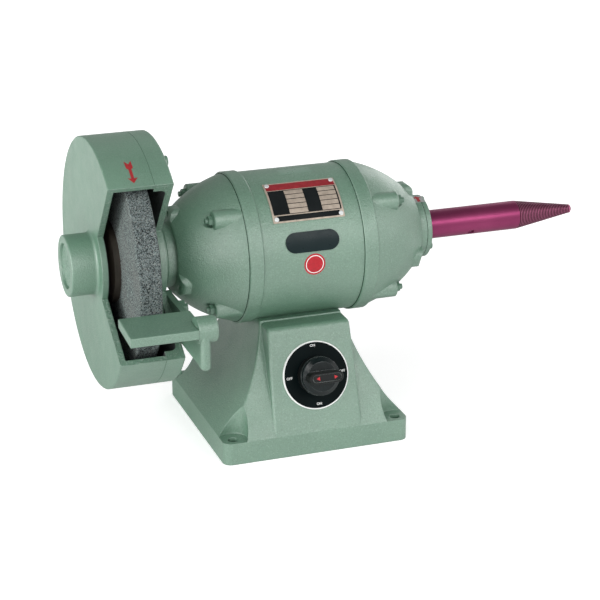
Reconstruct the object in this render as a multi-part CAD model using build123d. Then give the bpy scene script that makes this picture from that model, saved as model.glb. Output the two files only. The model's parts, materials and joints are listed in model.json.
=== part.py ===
from build123d import *
import math
import os

# A bench grinder and polisher: a motor on a cast pedestal, a guarded wheel on the left, a spindle right.
# X runs along the shaft towards the spindle, Y to the back and Z up.
# The origin is the middle of the pedestal's foot.
# Sizes are in millimetres and degrees. An angle about the shaft is counted upwards from the front.

# Shaft line
axis_height = 174.0
motor_x = 4.5

# Fits
seat_gap = 0.03
running_gap = 0.05
slide_gap = 0.2
pocket_gap = 0.3
ball_gap = 0.1

# Pedestal casting
base_width = 176.5
base_depth = 178.0
flange_height = 20.7
base_corner = 8.0
wing_edge = 2.0
saddle_wrap = 8.5
top_width = 78.0
flare_height = 66.0
flare_width = 112.5
wing_lean = 27.1
pedestal_wall = 6.0
saddle_roof = 8.0

# Switch panel on the pedestal's front
panel_x = 1.0
panel_lean = 17.2
panel_bottom_width = 85.6
panel_top_width = 78.6
panel_drop = 1.2
panel_edge = 3.0
panel_top_edge = 6.0

# Foot bolts
bolt_inset_x = 10.5
bolt_inset_y = 9.0
base_hole_r = 4.75
bolt_pocket_r = 13.7
bolt_post_wall = 5.0
bolt_pad_r = 11.0

# Bottom cover
cover_plate = 2.0
cover_recess = 0.5
cover_margin = 4.0
cover_screw_r = 2.0
cover_screw_length = 10.0
cover_screw_inset = 15.5

# Small screws
screw_head_ratio = 1.9
screw_head_height_ratio = 1.1
nut_flats_ratio = 1.65
nut_height_ratio = 0.8

# Rotary switch
dial_x = 2.5
dial_drop = 22.5
dial_r = 31.0
dial_thickness = 2.0
knob_r = 17.4
knob_height = 18.0
knob_wall = 2.5
knob_shoulder = 2.8
knob_slope = 4.0
grip_length = 31.5
grip_width = 10.4
grip_height = 13.0
grip_edge = 1.4
switch_size = 44.0
switch_depth = 42.0
switch_shaft_width = 7.0
switch_shaft_engagement = 12.0
switch_screw_r = 1.75
switch_screw_spacing = 21.6
switch_screw_grip = 10.0

# Wiring inside the pedestal
capacitor_r = 17.0
capacitor_length = 70.0
capacitor_y = 38.0
capacitor_tab = 6.0
clip_width = 16.0
clip_thickness = 1.5
clip_foot = 12.0
clip_screw_r = 1.75
terminal_length = 34.0
terminal_depth = 24.0
terminal_height = 20.0
terminal_screw_r = 1.75
terminal_screw_spacing = 26.0
lead_offset = 33.0
lead_r = 3.0
lead_hole_r = 5.0

# Cable gland on the back
gland_x = 42.0
gland_height = 50.0
gland_thread_r = 8.0
gland_bore_r = 4.5
gland_flats = 22.0
gland_hex = 5.0
gland_thread_out = 9.0
gland_thread_in = 8.0
gland_cap_flats = 20.0
gland_cap_length = 12.0
gland_cap_lip = 3.0
gland_nut_height = 4.0

# Motor shell and end shields
shell_r = 67.5
shell_wall = 4.5
shell_length = 94.6
band_rise = 1.6
band_width = 13.5
band_edge = 0.8
dome_step = 1.8
dome_bulge = 4.7
dome_end_r = 34.0
dome_reach = 116.0
shield_wall = 5.0
neck_length = 8.2
neck_r = 29.3
neck_edge = 0.5
spigot_length = 4.0
spigot_wall = 6.0
hub_r = 26.0
hub_lip = 6.2
lug_width = 20.0
lug_r = 43.8
lug_length = 16.0
lug_edge = 6.5
lug_hole_r = 2.5
lug_hole_circle_r = 38.0
lug_hole_depth = 12.0
lug_angles = (90, 210, 330)
motor_bolt_r = 4.0
motor_bolt_spacing_x = 46.0
motor_bolt_spacing_y = 36.0
motor_bolt_thread = 10.0
shell_pad_drop = 6.0
shell_pad_margin = 9.0

# Tie rods
tie_inset = 8.6
tie_rod_r = 2.5
tie_boss_r = 8.6
tie_boss_sink = 7.3
tie_boss_edge = 1.0
tie_spotface_r = 6.2
tie_end = 2.8
tie_angles = (45, 135, 225, 315)

# Stator and rotor
stack_length = 50.0
core_depth = 25.0
air_gap = 0.5
slot_count = 24
slot_width = 4.2
slot_depth = 13.0
winding_gap = 0.2
winding_overhang = 14.0
winding_inset = 9.0
rotor_bar_count = 18
rotor_bar_r = 2.2
rotor_bar_inset = 4.5
end_ring_inner_r = 22.0
end_ring_rim = 0.8
end_ring_length = 9.0
core_seat_r = 13.0

# Ball bearings
bearing_bore_r = 8.5
bearing_outer_r = 20.0
bearing_width = 12.0
bearing_recess = 2.0
race_inner_r = 12.2
race_outer_r = 16.3
ball_r = 3.3
ball_count = 8
cage_inner_r = 13.4
cage_outer_r = 15.1
cage_width = 9.2
shoulder_r = 10.8
shoulder_lip_r = 17.0
preload_washer = 1.2
washer_inner_r = 15.5

# Bearing cap
cap_r = 28.9
cap_thickness = 4.9
cap_bore_r = 10.0
cap_screw_r = 2.0
cap_screw_length = 14.0
cap_screw_circle_r = 24.6
cap_screw_angles = (90, 210, 330)

# Guard
guard_r = 113.0
guard_width = 58.1
guard_pad = 4.3
guard_back_wall = 5.8
guard_back_depth = 17.0
guard_back_rim = 9.5
guard_back_fillet = 5.0
guard_cover_wall = 5.6
guard_cover_rim = 5.0
guard_edge = 0.8
mouth_top = 51.6
mouth_bottom = -33.3
mouth_inner_r = 41.0
guard_shaft_hole_r = 14.0
hub_boss_r = 27.7
hub_boss_length = 24.0
hub_boss_fillet = 3.0
hub_recess_r = 19.8
hub_recess_depth = 3.0
hub_hollow_r = 21.0
hub_end_wall = 4.0
guard_screw_r = 2.5
guard_screw_circle_r = 107.6
guard_screw_boss_r = 4.4
guard_screw_engagement = 11.0
guard_screw_angles = (68, 148, 228, 308)

# Grinding wheel and its clamping
arbor_r = 8.0
flange_clearance = 4.6
flange_r = 37.0
flange_thickness = 9.5
flange_relief_r = 24.0
flange_relief = 1.0
blotter_thickness = 0.6
wheel_r = 100.0
wheel_width = 20.0
wheel_bore_r = 15.9
wheel_edge = 1.2
wheel_nut_flats = 24.0
wheel_nut_height = 13.0
arbor_end = 5.0

# Tool rest
rest_wheel_gap = 3.0
rest_length = 63.0
rest_depth = 48.5
rest_thickness = 8.0
rest_drop = 15.7
rest_edge = 1.0
rest_skew = 2.0
knuckle_r = 11.5
knuckle_length = 17.6
knuckle_edge = 2.5
knuckle_wall = 3.5
knuckle_clearance = 1.0
knuckle_overlap = 6.0
pivot_r = 6.0
lock_screw_r = 2.0
lock_screw_sink = 0.8
rib_width = 8.8
rib_overhang = 3.4
rib_depth = 10.0
rib_edge = 3.4
rib_shift = 1.4
arm_thickness = 6.0
arm_height = 29.2
arm_back_reach = 20.0
rest_stop_gap = 0.8
arm_bolt_r = 4.0
arm_bolt_reach = 42.0
arm_bolt_drop = 12.0
arm_travel = 12.0
arm_washer_r = 8.0
arm_washer = 1.6

# Polishing spindle
spindle_gap = 1.0
spindle_r = 13.4
spindle_plain = 95.1
taper_length = 59.0
taper_tip_r = 3.8
taper_nose = 3.0
ridge_pitch = 1.75
ridge_depth = 0.5
spindle_bore_depth = 58.0
spindle_end_gap = 1.0
set_screw_r = 3.0
set_screw_place = 46.4
set_screw_fill = 0.6
set_screw_angles = (319, 229)

# Plates on the motor shell
plate_thickness = 0.8
plate_x = 2.9
plate_width = 66.8
plate_low = 33.5
plate_high = 69.2
rivet_r = 2.1
rivet_height = 1.2
rivet_inset = 3.2
badge_width = 50.0
badge_height = 18.5
badge_angle = 17.5

# Places along the shaft
shield_reach = dome_reach + neck_length
left_neck_x = motor_x - shield_reach
right_neck_x = motor_x + shield_reach
guard_back_x = left_neck_x - guard_pad
guard_inner_x = guard_back_x - guard_back_wall
guard_seam_x = guard_back_x - guard_back_depth
guard_cover_x = guard_back_x - guard_width
guard_cover_inner_x = guard_cover_x + guard_cover_wall
hub_end_x = guard_cover_x - hub_boss_length
arbor_shoulder_x = guard_inner_x - flange_clearance
inner_blotter_x = arbor_shoulder_x - flange_thickness
wheel_right_x = inner_blotter_x - blotter_thickness
wheel_left_x = wheel_right_x - wheel_width
outer_flange_x = wheel_left_x - blotter_thickness
wheel_nut_x = outer_flange_x - flange_thickness
arbor_end_x = wheel_nut_x - wheel_nut_height - arbor_end
cap_face_x = right_neck_x + cap_thickness
spindle_start_x = cap_face_x + spindle_gap
spindle_taper_x = spindle_start_x + spindle_plain
spindle_end_x = spindle_taper_x + taper_length
shaft_end_x = spindle_start_x + spindle_bore_depth - spindle_end_gap
bearing_outer_face = shield_reach - bearing_recess
bearing_inner_face = bearing_outer_face - bearing_width
hub_reach = bearing_inner_face - hub_lip
shell_half = shell_length / 2
band_outer = shell_half + band_width
lead_x = motor_x - lead_offset

# Radii inside and on the motor shell
shell_inner_r = shell_r - shell_wall
band_r = shell_r + band_rise
dome_start_r = band_r - dome_step
tie_circle_r = shell_r - tie_inset
stator_bore_r = shell_inner_r - core_depth
winding_outer_r = shell_inner_r - winding_inset
rotor_bar_circle_r = stator_bore_r - rotor_bar_inset

# Dome of an end shield, on whose slope the tie-rod bosses end
dome_length = dome_reach - band_outer
dome_fall = dome_start_r - dome_end_r
dome_bow = dome_bulge / math.hypot(dome_length, dome_fall)
dome_mid_x = band_outer + dome_length / 2 + dome_bow * dome_fall
dome_mid_r = dome_start_r - dome_fall / 2 + dome_bow * dome_length
tie_boss_fall = dome_start_r - tie_circle_r + tie_boss_sink
tie_boss_reach = band_outer + dome_length * tie_boss_fall / dome_fall

# Places on the pedestal
bolt_spacing_x = base_width - 2 * bolt_inset_x
bolt_spacing_y = base_depth - 2 * bolt_inset_y
shell_bottom = axis_height - shell_r
pedestal_top = shell_bottom + saddle_wrap
panel_top = pedestal_top - panel_drop
pad_bottom = shell_bottom - shell_pad_drop
cavity_top = pad_bottom - saddle_roof
cover_top = cover_recess + cover_plate
panel_slope = math.tan(math.radians(panel_lean))
wing_slope = math.tan(math.radians(wing_lean))
dial_height = cavity_top - dial_drop
dial_y = (dial_height - flange_height) * panel_slope - base_depth / 2
panel_frame = Plane(
    origin=(dial_x, dial_y, dial_height),
    x_dir=(1, 0, 0),
    z_dir=(0, -math.cos(math.radians(panel_lean)), math.sin(math.radians(panel_lean))),
)
gland_y = base_depth / 2 - (gland_height - flange_height) * wing_slope
gland_frame = Plane(
    origin=(gland_x, gland_y, gland_height),
    x_dir=(1, 0, 0),
    z_dir=(0, math.cos(math.radians(wing_lean)), math.sin(math.radians(wing_lean))),
)
# The wall is measured level, so square to a leaning face it is thinner.
panel_wall = pedestal_wall * math.cos(math.radians(panel_lean))
gland_wall = pedestal_wall * math.cos(math.radians(wing_lean))

# Places on the tool rest
rest_top = axis_height - rest_drop
arm_back_y = -arm_back_reach
arm_bolt_y = -arm_bolt_reach
rest_mid_height = rest_top - rest_thickness / 2
rest_back_y = -math.sqrt(wheel_r**2 - (rest_mid_height - axis_height) ** 2) - rest_wheel_gap
rest_front_y = rest_back_y - rest_depth
knuckle_y = rest_front_y + knuckle_r
arm_left_x = guard_back_x + slide_gap
arm_right_x = arm_left_x + arm_thickness
arm_top = rest_top - rest_thickness - rest_stop_gap
arm_bottom = arm_top - arm_height
knuckle_left_x = arm_left_x - rib_overhang
knuckle_right_x = knuckle_left_x + knuckle_length
knuckle_bore_x = knuckle_right_x - knuckle_wall
rest_right_x = knuckle_left_x - slide_gap
rest_left_x = rest_right_x + knuckle_overlap - rest_length
arm_bolt_height = arm_top - arm_bolt_drop


def on_shaft(part):
    """Lifts a part built about the X axis onto the shaft line."""
    return Pos(0, 0, axis_height) * part


def about(angle, radius):
    """Y and Z of a point at an angle about the shaft, counted upwards from the front."""
    turn = math.radians(angle)
    return -radius * math.cos(turn), radius * math.sin(turn)


def turned(*pieces):
    """Solid of revolution about the X axis from the edges of a closed profile in X and radius."""
    return revolve(make_face(Curve() + list(pieces)), Axis.X)


def turned_polygon(*points):
    """Solid of revolution about the X axis from the corners of its profile in X and radius."""
    return revolve(make_face(Polyline(*points, close=True)), Axis.X)


def disc(radius, start, end):
    """Cylinder about the X axis between two places along it."""
    return Pos((start + end) / 2, 0, 0) * Rot(0, 90, 0) * Cylinder(radius, abs(end - start))


def ring(outer, inner, start, end):
    """Ring about the X axis between two places along it."""
    return disc(outer, start, end) - disc(inner, start, end)


def peg(radius, start, end):
    """Cylinder about the Z axis between two heights."""
    return Pos(0, 0, (start + end) / 2) * Cylinder(radius, end - start)


def rod(radius, start, end, y, z):
    """Cylinder parallel to the X axis through a point in Y and Z."""
    return Pos(0, y, z) * disc(radius, start, end)


def prism(flats, start, end):
    """Hexagonal prism about the X axis, with its size across the flats."""
    outline = RegularPolygon(flats / math.sqrt(3), 6)
    return Pos(start, 0, 0) * extrude(Plane.YZ * outline, end - start)


def pan_screw(radius, length):
    """Screw with a rounded head on Z = 0 and its shank running down."""
    height = radius * screw_head_height_ratio
    head = peg(radius * screw_head_ratio, 0, height)
    head = fillet(head.edges().group_by(Axis.Z)[-1], height / 2)
    return head + peg(radius, -length, 0)


def hex_nut(radius):
    """Nut on Z = 0 standing up, with its thread cleared for a bolt of the given radius."""
    height = 2 * radius * nut_height_ratio
    outline = RegularPolygon(2 * radius * nut_flats_ratio / math.sqrt(3), 6) - Circle(radius + seat_gap)
    return extrude(outline, height)


def hex_bolt(radius, length):
    """Bolt with its hexagonal head standing on Z = 0 and its shank running down."""
    height = 2 * radius * nut_height_ratio
    head = extrude(RegularPolygon(2 * radius * nut_flats_ratio / math.sqrt(3), 6), height)
    return head + peg(radius, -length, 0)


def facing(x, y, z, direction):
    """Plane at a point whose normal is the given direction."""
    return Plane(origin=(x, y, z), z_dir=direction)


def pedestal_block(inset):
    """The pedestal's flared body with every side wall moved in by the inset."""
    half_width = base_width / 2 - inset
    half_depth = base_depth / 2 - inset
    half_top = top_width / 2 - inset
    half_flare = flare_width / 2 - inset
    top_depth = half_depth - (pedestal_top - flange_height) * wing_slope
    right_foot = (half_width, flange_height)
    right_flare = (half_flare, flare_height)
    right_top = (half_top, pedestal_top)
    left_foot = (-half_width, flange_height)
    left_flare = (-half_flare, flare_height)
    left_top = (-half_top, pedestal_top)
    front_view = make_face(
        Curve()
        + [
            Polyline(right_foot, (half_width, 0), (-half_width, 0), left_foot),
            ThreePointArc(left_foot, left_flare, left_top),
            Line(left_top, right_top),
            ThreePointArc(right_top, right_flare, right_foot),
        ]
    )
    side_view = make_face(
        Polyline(
            (-half_depth, 0),
            (half_depth, 0),
            (half_depth, flange_height),
            (top_depth, pedestal_top),
            (-top_depth, pedestal_top),
            (-half_depth, flange_height),
            close=True,
        )
    )
    body = extrude(Plane.XZ * front_view, half_depth, both=True)
    return body & extrude(Plane.YZ * side_view, half_width, both=True)


def panel_block(inset):
    """The leaning box behind the switch panel, cut off at the foot's front, with its walls moved in."""
    low_y = inset - base_depth / 2 - flange_height * panel_slope
    high_y = low_y + panel_top * panel_slope
    side_view = make_face(Polyline((low_y, 0), (high_y, panel_top), (0, panel_top), (0, 0), close=True))
    low = panel_bottom_width / 2 - inset
    high = panel_top_width / 2 - inset
    front_view = make_face(
        Polyline(
            (panel_x - low, 0),
            (panel_x + low, 0),
            (panel_x + high, panel_top),
            (panel_x - high, panel_top),
            close=True,
        )
    )
    box = extrude(Plane.YZ * side_view, base_width / 2, both=True)
    box &= extrude(Plane.XZ * front_view, base_depth, both=True)
    if inset == 0:
        front = box.faces().sort_by(Axis.Y)[0]
        box = fillet(front.edges().group_by(Axis.Z)[-1], panel_top_edge)
        sides = box.faces().filter_by(GeomType.PLANE).sort_by(Axis.X)
        side_edges = [edge for side in (sides[0], sides[-1]) for edge in side.edges().sort_by(Axis.Y)[:2]]
        box = fillet(side_edges, panel_edge)
    return box & extrude(Rectangle(base_width, base_depth - 2 * inset), panel_top)


def foot_bolt_places():
    """The four foot bolts, at the corners of their rectangle."""
    return [Pos(x, y, 0) for x, y in corner_places(bolt_spacing_x, bolt_spacing_y)]


def corner_places(spacing_x, spacing_y):
    """Corners of a rectangle about the origin."""
    return [(sx * spacing_x / 2, sy * spacing_y / 2) for sx in (-1, 1) for sy in (-1, 1)]


def cover_screw_places():
    """Screws of the bottom cover, on the bolt posts and towards the middle."""
    step = cover_screw_inset / math.sqrt(2)
    return [
        (x - math.copysign(step, x), y - math.copysign(step, y))
        for x, y in corner_places(bolt_spacing_x, bolt_spacing_y)
    ]


def motor_bolt_places():
    """Bolts that hold the motor shell to the saddle."""
    return [(motor_x + x, y) for x, y in corner_places(motor_bolt_spacing_x, motor_bolt_spacing_y)]


def cover_outline(gap):
    """Outline of the bottom cover, which leaves a round pad about each foot bolt."""
    outline = Rectangle(base_width - 2 * cover_margin + 2 * gap, base_depth - 2 * cover_margin + 2 * gap)
    for place in foot_bolt_places():
        outline -= place * Circle(bolt_pad_r - gap)
    return outline


def make_pedestal():
    """Hollow cast pedestal with its foot flange, switch panel and motor saddle."""
    body = pedestal_block(0)
    body = fillet(body.edges().filter_by(lambda edge: edge.geom_type != GeomType.LINE), wing_edge)
    body &= extrude(RectangleRounded(base_width, base_depth, base_corner), pedestal_top)
    body += panel_block(0)
    hollow = (pedestal_block(pedestal_wall) + panel_block(pedestal_wall)) & (
        Pos(0, 0, cavity_top / 2) * Box(base_width, base_depth, cavity_top)
    )
    for place in foot_bolt_places():
        hollow -= place * Cylinder(bolt_pocket_r + bolt_post_wall, 2 * pedestal_top)
    body -= hollow
    body -= on_shaft(disc(shell_r + seat_gap, -base_width, base_width))
    body -= shell_pad(pocket_gap)
    for place in foot_bolt_places():
        body -= place * peg(bolt_pocket_r, flange_height, pedestal_top)
        body -= place * peg(base_hole_r, 0, flange_height)
    body -= extrude(cover_outline(pocket_gap), cover_top)
    for x, y in cover_screw_places():
        body -= Pos(x, y, cover_top) * peg(cover_screw_r + seat_gap, 0, cover_screw_length)
    for x, y in motor_bolt_places():
        body -= Pos(x, y, pad_bottom) * Cylinder(motor_bolt_r + pocket_gap, 2 * saddle_roof)
    body -= Pos(lead_x, 0, shell_bottom) * Cylinder(lead_hole_r, 4 * saddle_roof)
    body -= panel_frame * Cylinder(switch_shaft_width, 4 * pedestal_wall)
    for side in (-1, 1):
        screw_hole = Cylinder(switch_screw_r + pocket_gap, 4 * pedestal_wall)
        body -= panel_frame * Pos(0, side * switch_screw_spacing / 2, 0) * screw_hole
    body -= gland_frame * Cylinder(gland_thread_r + pocket_gap, 4 * pedestal_wall)
    return body


def make_bottom_cover():
    """Sheet cover under the pedestal."""
    cover = Pos(0, 0, cover_recess) * extrude(cover_outline(0), cover_plate)
    for x, y in cover_screw_places():
        cover -= Pos(x, y, cover_top) * Cylinder(cover_screw_r + pocket_gap, 4 * cover_plate)
    holes = [(0, capacitor_y + side * clip_hole_reach()) for side in (-1, 1)]
    holes += [(lead_x + side * terminal_screw_spacing / 2, 0) for side in (-1, 1)]
    for x, y in holes:
        cover -= Pos(x, y, cover_top) * Cylinder(clip_screw_r + seat_gap, 4 * cover_plate)
    return cover


def make_bottom_cover_screws():
    """Thin-headed screws that stay inside the cover's recess."""
    screws = []
    for x, y in cover_screw_places():
        screw = peg(cover_screw_r, cover_recess, cover_recess + cover_screw_length)
        screw += peg(cover_screw_r * screw_head_ratio, 0, cover_recess)
        screws.append(Pos(x, y, 0) * screw)
    return Compound(children=screws)


def make_switch_plate():
    """Round dial plate between the panel and the knob."""
    plate = peg(dial_r, 0, dial_thickness)
    plate = fillet(plate.edges().group_by(Axis.Z)[-1], dial_thickness / 4)
    plate -= peg(switch_shaft_width, 0, dial_thickness)
    for side in (-1, 1):
        screw_hole = peg(switch_screw_r + pocket_gap, 0, dial_thickness)
        plate -= Pos(0, side * switch_screw_spacing / 2, 0) * screw_hole
    return panel_frame * plate


def make_switch_body():
    """Block of the rotary switch behind the panel, with a round seat for its shaft."""
    body = Pos(0, 0, -panel_wall - switch_depth / 2) * Box(switch_size, switch_size, switch_depth)
    body = fillet(body.edges().filter_by(Axis.Z), panel_edge)
    seat_r = switch_shaft_width / math.sqrt(2) + running_gap
    body -= peg(seat_r, -panel_wall - switch_shaft_engagement, -panel_wall)
    for side in (-1, 1):
        screw_hole = peg(switch_screw_r + seat_gap, -panel_wall - switch_screw_grip, -panel_wall)
        body -= Pos(0, side * switch_screw_spacing / 2, 0) * screw_hole
    return panel_frame * body


def make_switch_screws():
    """Two screws through the dial plate and panel into the switch, under the knob."""
    length = dial_thickness + panel_wall + switch_screw_grip
    screws = []
    for side in (-1, 1):
        place = Pos(0, side * switch_screw_spacing / 2, dial_thickness)
        screws.append(panel_frame * place * pan_screw(switch_screw_r, length))
    return Compound(children=screws)


def make_switch_shaft():
    """Square shaft from the switch up into the knob."""
    low = -panel_wall - switch_shaft_engagement + slide_gap
    high = dial_thickness + knob_height - knob_wall
    square = Rectangle(switch_shaft_width, switch_shaft_width)
    return panel_frame * Pos(0, 0, low) * extrude(square, high - low)


def make_switch_knob():
    """Hollow round knob with a sloping shoulder and a raised grip bar across it."""
    low = dial_thickness + pocket_gap
    top = dial_thickness + knob_height
    cap = peg(knob_r, low, top - knob_shoulder)
    cap += Pos(0, 0, top - knob_shoulder / 2) * Cone(knob_r, knob_r - knob_slope, knob_shoulder)
    grip = extrude(SlotOverall(grip_length, grip_width), grip_height + knob_shoulder)
    grip = Pos(0, 0, top - knob_shoulder) * fillet(grip.edges().group_by(Axis.Z)[-1], grip_edge)
    hollow_top = top - 2 * knob_wall
    hollow = peg(knob_r - knob_wall, low, hollow_top)
    boss = peg(switch_shaft_width, low, hollow_top)
    socket = switch_shaft_width + 2 * seat_gap
    shaft_top = top - knob_wall
    socket_hole = Pos(0, 0, (low + shaft_top) / 2) * Box(socket, socket, shaft_top - low + seat_gap)
    return panel_frame * ((cap - hollow) + boss + grip - socket_hole)


def make_capacitor():
    """Run capacitor lying on the bottom cover, with its two terminals."""
    can = disc(capacitor_r, -capacitor_length / 2, capacitor_length / 2)
    can = fillet(can.edges().filter_by(GeomType.CIRCLE), clip_thickness)
    tab = Box(2 * capacitor_tab, clip_thickness, capacitor_tab)
    for side in (-1, 1):
        can += Pos(capacitor_length / 2, side * capacitor_tab, 0) * tab
    return Pos(0, capacitor_y, cover_top + capacitor_r + seat_gap) * can


def clip_hole_reach():
    """Distance of the clip's screws from the middle of the capacitor."""
    return capacitor_r + clip_thickness + clip_foot / 2


def clip_arch(radius, height):
    """Outline of an arch that stands on feet the given height below its middle."""
    upper = Circle(radius) & Pos(0, radius / 2) * Rectangle(2 * radius, radius)
    return upper + Pos(0, -height / 2) * Rectangle(2 * radius, height)


def make_capacitor_clip():
    """Sheet strap over the capacitor with a screwed foot on each side."""
    middle = capacitor_r + seat_gap
    outer = middle + seat_gap + clip_thickness
    strap = clip_arch(outer, middle) - clip_arch(middle + seat_gap, middle)
    for side in (-1, 1):
        foot_place = Pos(side * (outer + clip_foot / 2), clip_thickness / 2 - middle)
        strap += foot_place * Rectangle(clip_foot + clip_thickness, clip_thickness)
    clip = extrude(Plane.YZ * strap, clip_width / 2, both=True)
    for side in (-1, 1):
        screw_hole = peg(clip_screw_r + seat_gap, -middle, clip_thickness - middle)
        clip -= Pos(0, side * clip_hole_reach(), 0) * screw_hole
    return Pos(0, capacitor_y, cover_top + middle) * clip


def make_capacitor_clip_screws():
    """Screws through the clip's feet into the cover."""
    screws = []
    for side in (-1, 1):
        place = Pos(0, capacitor_y + side * clip_hole_reach(), cover_top + clip_thickness)
        screws.append(place * pan_screw(clip_screw_r, clip_thickness + cover_plate))
    return Compound(children=screws)


def make_terminal_block():
    """Moulded terminal block on the bottom cover, under the motor leads."""
    block = extrude(Rectangle(terminal_length, terminal_depth), terminal_height)
    for side in (-1, 1):
        screw_hole = peg(terminal_screw_r + seat_gap, 0, terminal_height)
        block -= Pos(side * terminal_screw_spacing / 2, 0, 0) * screw_hole
    return Pos(lead_x, 0, cover_top) * block


def make_terminal_screws():
    """Screws that hold the terminal block to the cover."""
    screws = []
    for side in (-1, 1):
        place = Pos(lead_x + side * terminal_screw_spacing / 2, 0, cover_top + terminal_height)
        screws.append(place * pan_screw(terminal_screw_r, terminal_height + cover_plate))
    return Compound(children=screws)


def make_motor_leads():
    """Sleeved leads that drop from the winding to the terminal block."""
    top = axis_height - winding_outer_r - winding_gap
    bottom = cover_top + terminal_height + seat_gap
    return Pos(lead_x, 0, 0) * peg(lead_r, bottom, top)


def gland_prism(flats, start, end):
    """Hexagonal prism along the gland's axis."""
    return Pos(0, 0, start) * extrude(RegularPolygon(flats / math.sqrt(3), 6), end - start)


def make_cable_gland():
    """Gland body through the back wall, with a collar outside."""
    body = gland_prism(gland_flats, 0, gland_hex)
    stem_low = -gland_wall - gland_thread_in
    stem_high = gland_hex + gland_thread_out
    body += peg(gland_thread_r, stem_low, stem_high)
    body -= peg(gland_bore_r, stem_low, stem_high)
    return gland_frame * body


def make_gland_cap():
    """Domed clamping nut on the gland's outer thread."""
    low = gland_hex + slide_gap
    high = low + gland_cap_length
    cap = gland_prism(gland_cap_flats, low, high)
    thread_top = gland_hex + gland_thread_out + slide_gap
    cap += peg(gland_cap_flats / 2 - gland_cap_lip, high, high + gland_cap_lip)
    cap -= peg(gland_thread_r + seat_gap, low, thread_top)
    cap -= peg(gland_bore_r, low, high + gland_cap_lip)
    return gland_frame * cap


def make_gland_locknut():
    """Locknut of the gland inside the pedestal."""
    nut = gland_prism(gland_flats, -gland_wall - gland_nut_height, -gland_wall)
    nut -= peg(gland_thread_r + seat_gap, -gland_wall - gland_nut_height, -gland_wall)
    return gland_frame * nut


def make_motor_bolts():
    """Bolts from inside the pedestal up into the shell's wall."""
    bolts = []
    for x, y in motor_bolt_places():
        length = saddle_roof + motor_bolt_thread - slide_gap
        bolts.append(facing(x, y, cavity_top, (0, 0, -1)) * hex_bolt(motor_bolt_r, length))
    return Compound(children=bolts)


def shell_pad(gap):
    """Flat foot under the motor shell, grown sideways by the gap, up to the shell's widest line."""
    length = motor_bolt_spacing_x + 2 * shell_pad_margin + 2 * gap
    depth = motor_bolt_spacing_y + 2 * shell_pad_margin + 2 * gap
    return Pos(motor_x, 0, (pad_bottom + axis_height) / 2) * Box(length, depth, axis_height - pad_bottom)


def make_motor_shell():
    """Tube between the end shields, with a flat foot for its bolts."""
    shell = on_shaft(disc(shell_r, motor_x - shell_half, motor_x + shell_half)) + shell_pad(0)
    shell -= on_shaft(disc(shell_inner_r, motor_x - shell_half, motor_x + shell_half))
    for x, y in motor_bolt_places():
        shell -= Pos(x, y, pad_bottom) * peg(motor_bolt_r + seat_gap, 0, motor_bolt_thread)
    return shell - Pos(lead_x, 0, shell_bottom) * Cylinder(lead_hole_r, 4 * saddle_roof)


def stator_slot(width, inner, outer):
    """One winding slot at the top of the bore, as a block along the shaft."""
    return Pos(0, 0, (inner + outer) / 2) * Box(2 * stack_length, width, outer - inner)


def make_stator_core():
    """Laminated stator with open slots and clearance for the tie rods."""
    half = stack_length / 2
    core = ring(shell_inner_r - seat_gap, stator_bore_r, -half, half)
    slot = stator_slot(slot_width, stator_bore_r - slot_width, stator_bore_r + slot_depth)
    slots = [Rot(X=360 * i / slot_count) * slot for i in range(slot_count)]
    holes = [rod(tie_rod_r + pocket_gap, -half, half, *about(a, tie_circle_r)) for a in tie_angles]
    return on_shaft(Pos(motor_x, 0, 0) * (core - slots - holes))


def make_stator_windings():
    """Copper winding: bars in the slots joined by a ring of end turns at both ends."""
    half = stack_length / 2
    reach = half + winding_overhang
    inner = stator_bore_r + slot_width / 2
    start = half + winding_gap
    outer = stator_bore_r + slot_depth - winding_gap
    bar = Box(2 * start + winding_overhang, slot_width - 2 * winding_gap, outer - inner)
    bar = Pos(0, 0, (inner + outer) / 2) * bar
    winding = ring(winding_outer_r, inner, start, reach) + ring(winding_outer_r, inner, -reach, -start)
    winding += [Rot(X=360 * i / slot_count) * bar for i in range(slot_count)]
    return on_shaft(Pos(motor_x, 0, 0) * winding)


def make_rotor_core():
    """Laminated rotor on the shaft, pierced for the cage bars."""
    half = stack_length / 2
    core = ring(stator_bore_r - air_gap, core_seat_r + seat_gap, -half, half)
    holes = [
        rod(rotor_bar_r + seat_gap, -half, half, *about(360 * i / rotor_bar_count, rotor_bar_circle_r))
        for i in range(rotor_bar_count)
    ]
    return on_shaft(Pos(motor_x, 0, 0) * (core - holes))


def make_rotor_cage():
    """Cast aluminium cage: bars through the core and a ring at each end."""
    half = stack_length / 2
    reach = half + end_ring_length
    outer = rotor_bar_circle_r + rotor_bar_r + end_ring_rim
    cage = ring(outer, end_ring_inner_r, half, reach) + ring(outer, end_ring_inner_r, -reach, -half)
    cage += [
        rod(rotor_bar_r, -half, half, *about(360 * i / rotor_bar_count, rotor_bar_circle_r))
        for i in range(rotor_bar_count)
    ]
    return on_shaft(Pos(motor_x, 0, 0) * cage)


def make_shaft():
    """Stepped shaft from the wheel arbor, through both bearings, to the spindle seat."""
    seat = bearing_bore_r - seat_gap
    half = stack_length / 2
    return on_shaft(
        turned_polygon(
            (arbor_end_x, 0),
            (arbor_end_x, arbor_r),
            (arbor_shoulder_x, arbor_r),
            (arbor_shoulder_x, seat),
            (motor_x - bearing_inner_face, seat),
            (motor_x - bearing_inner_face, shoulder_r),
            (motor_x - half, shoulder_r),
            (motor_x - half, core_seat_r),
            (motor_x + half, core_seat_r),
            (motor_x + half, shoulder_r),
            (motor_x + bearing_inner_face, shoulder_r),
            (motor_x + bearing_inner_face, seat),
            (spindle_start_x, seat),
            (spindle_start_x, arbor_r),
            (shaft_end_x, arbor_r),
            (shaft_end_x, 0),
        )
    )


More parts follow.
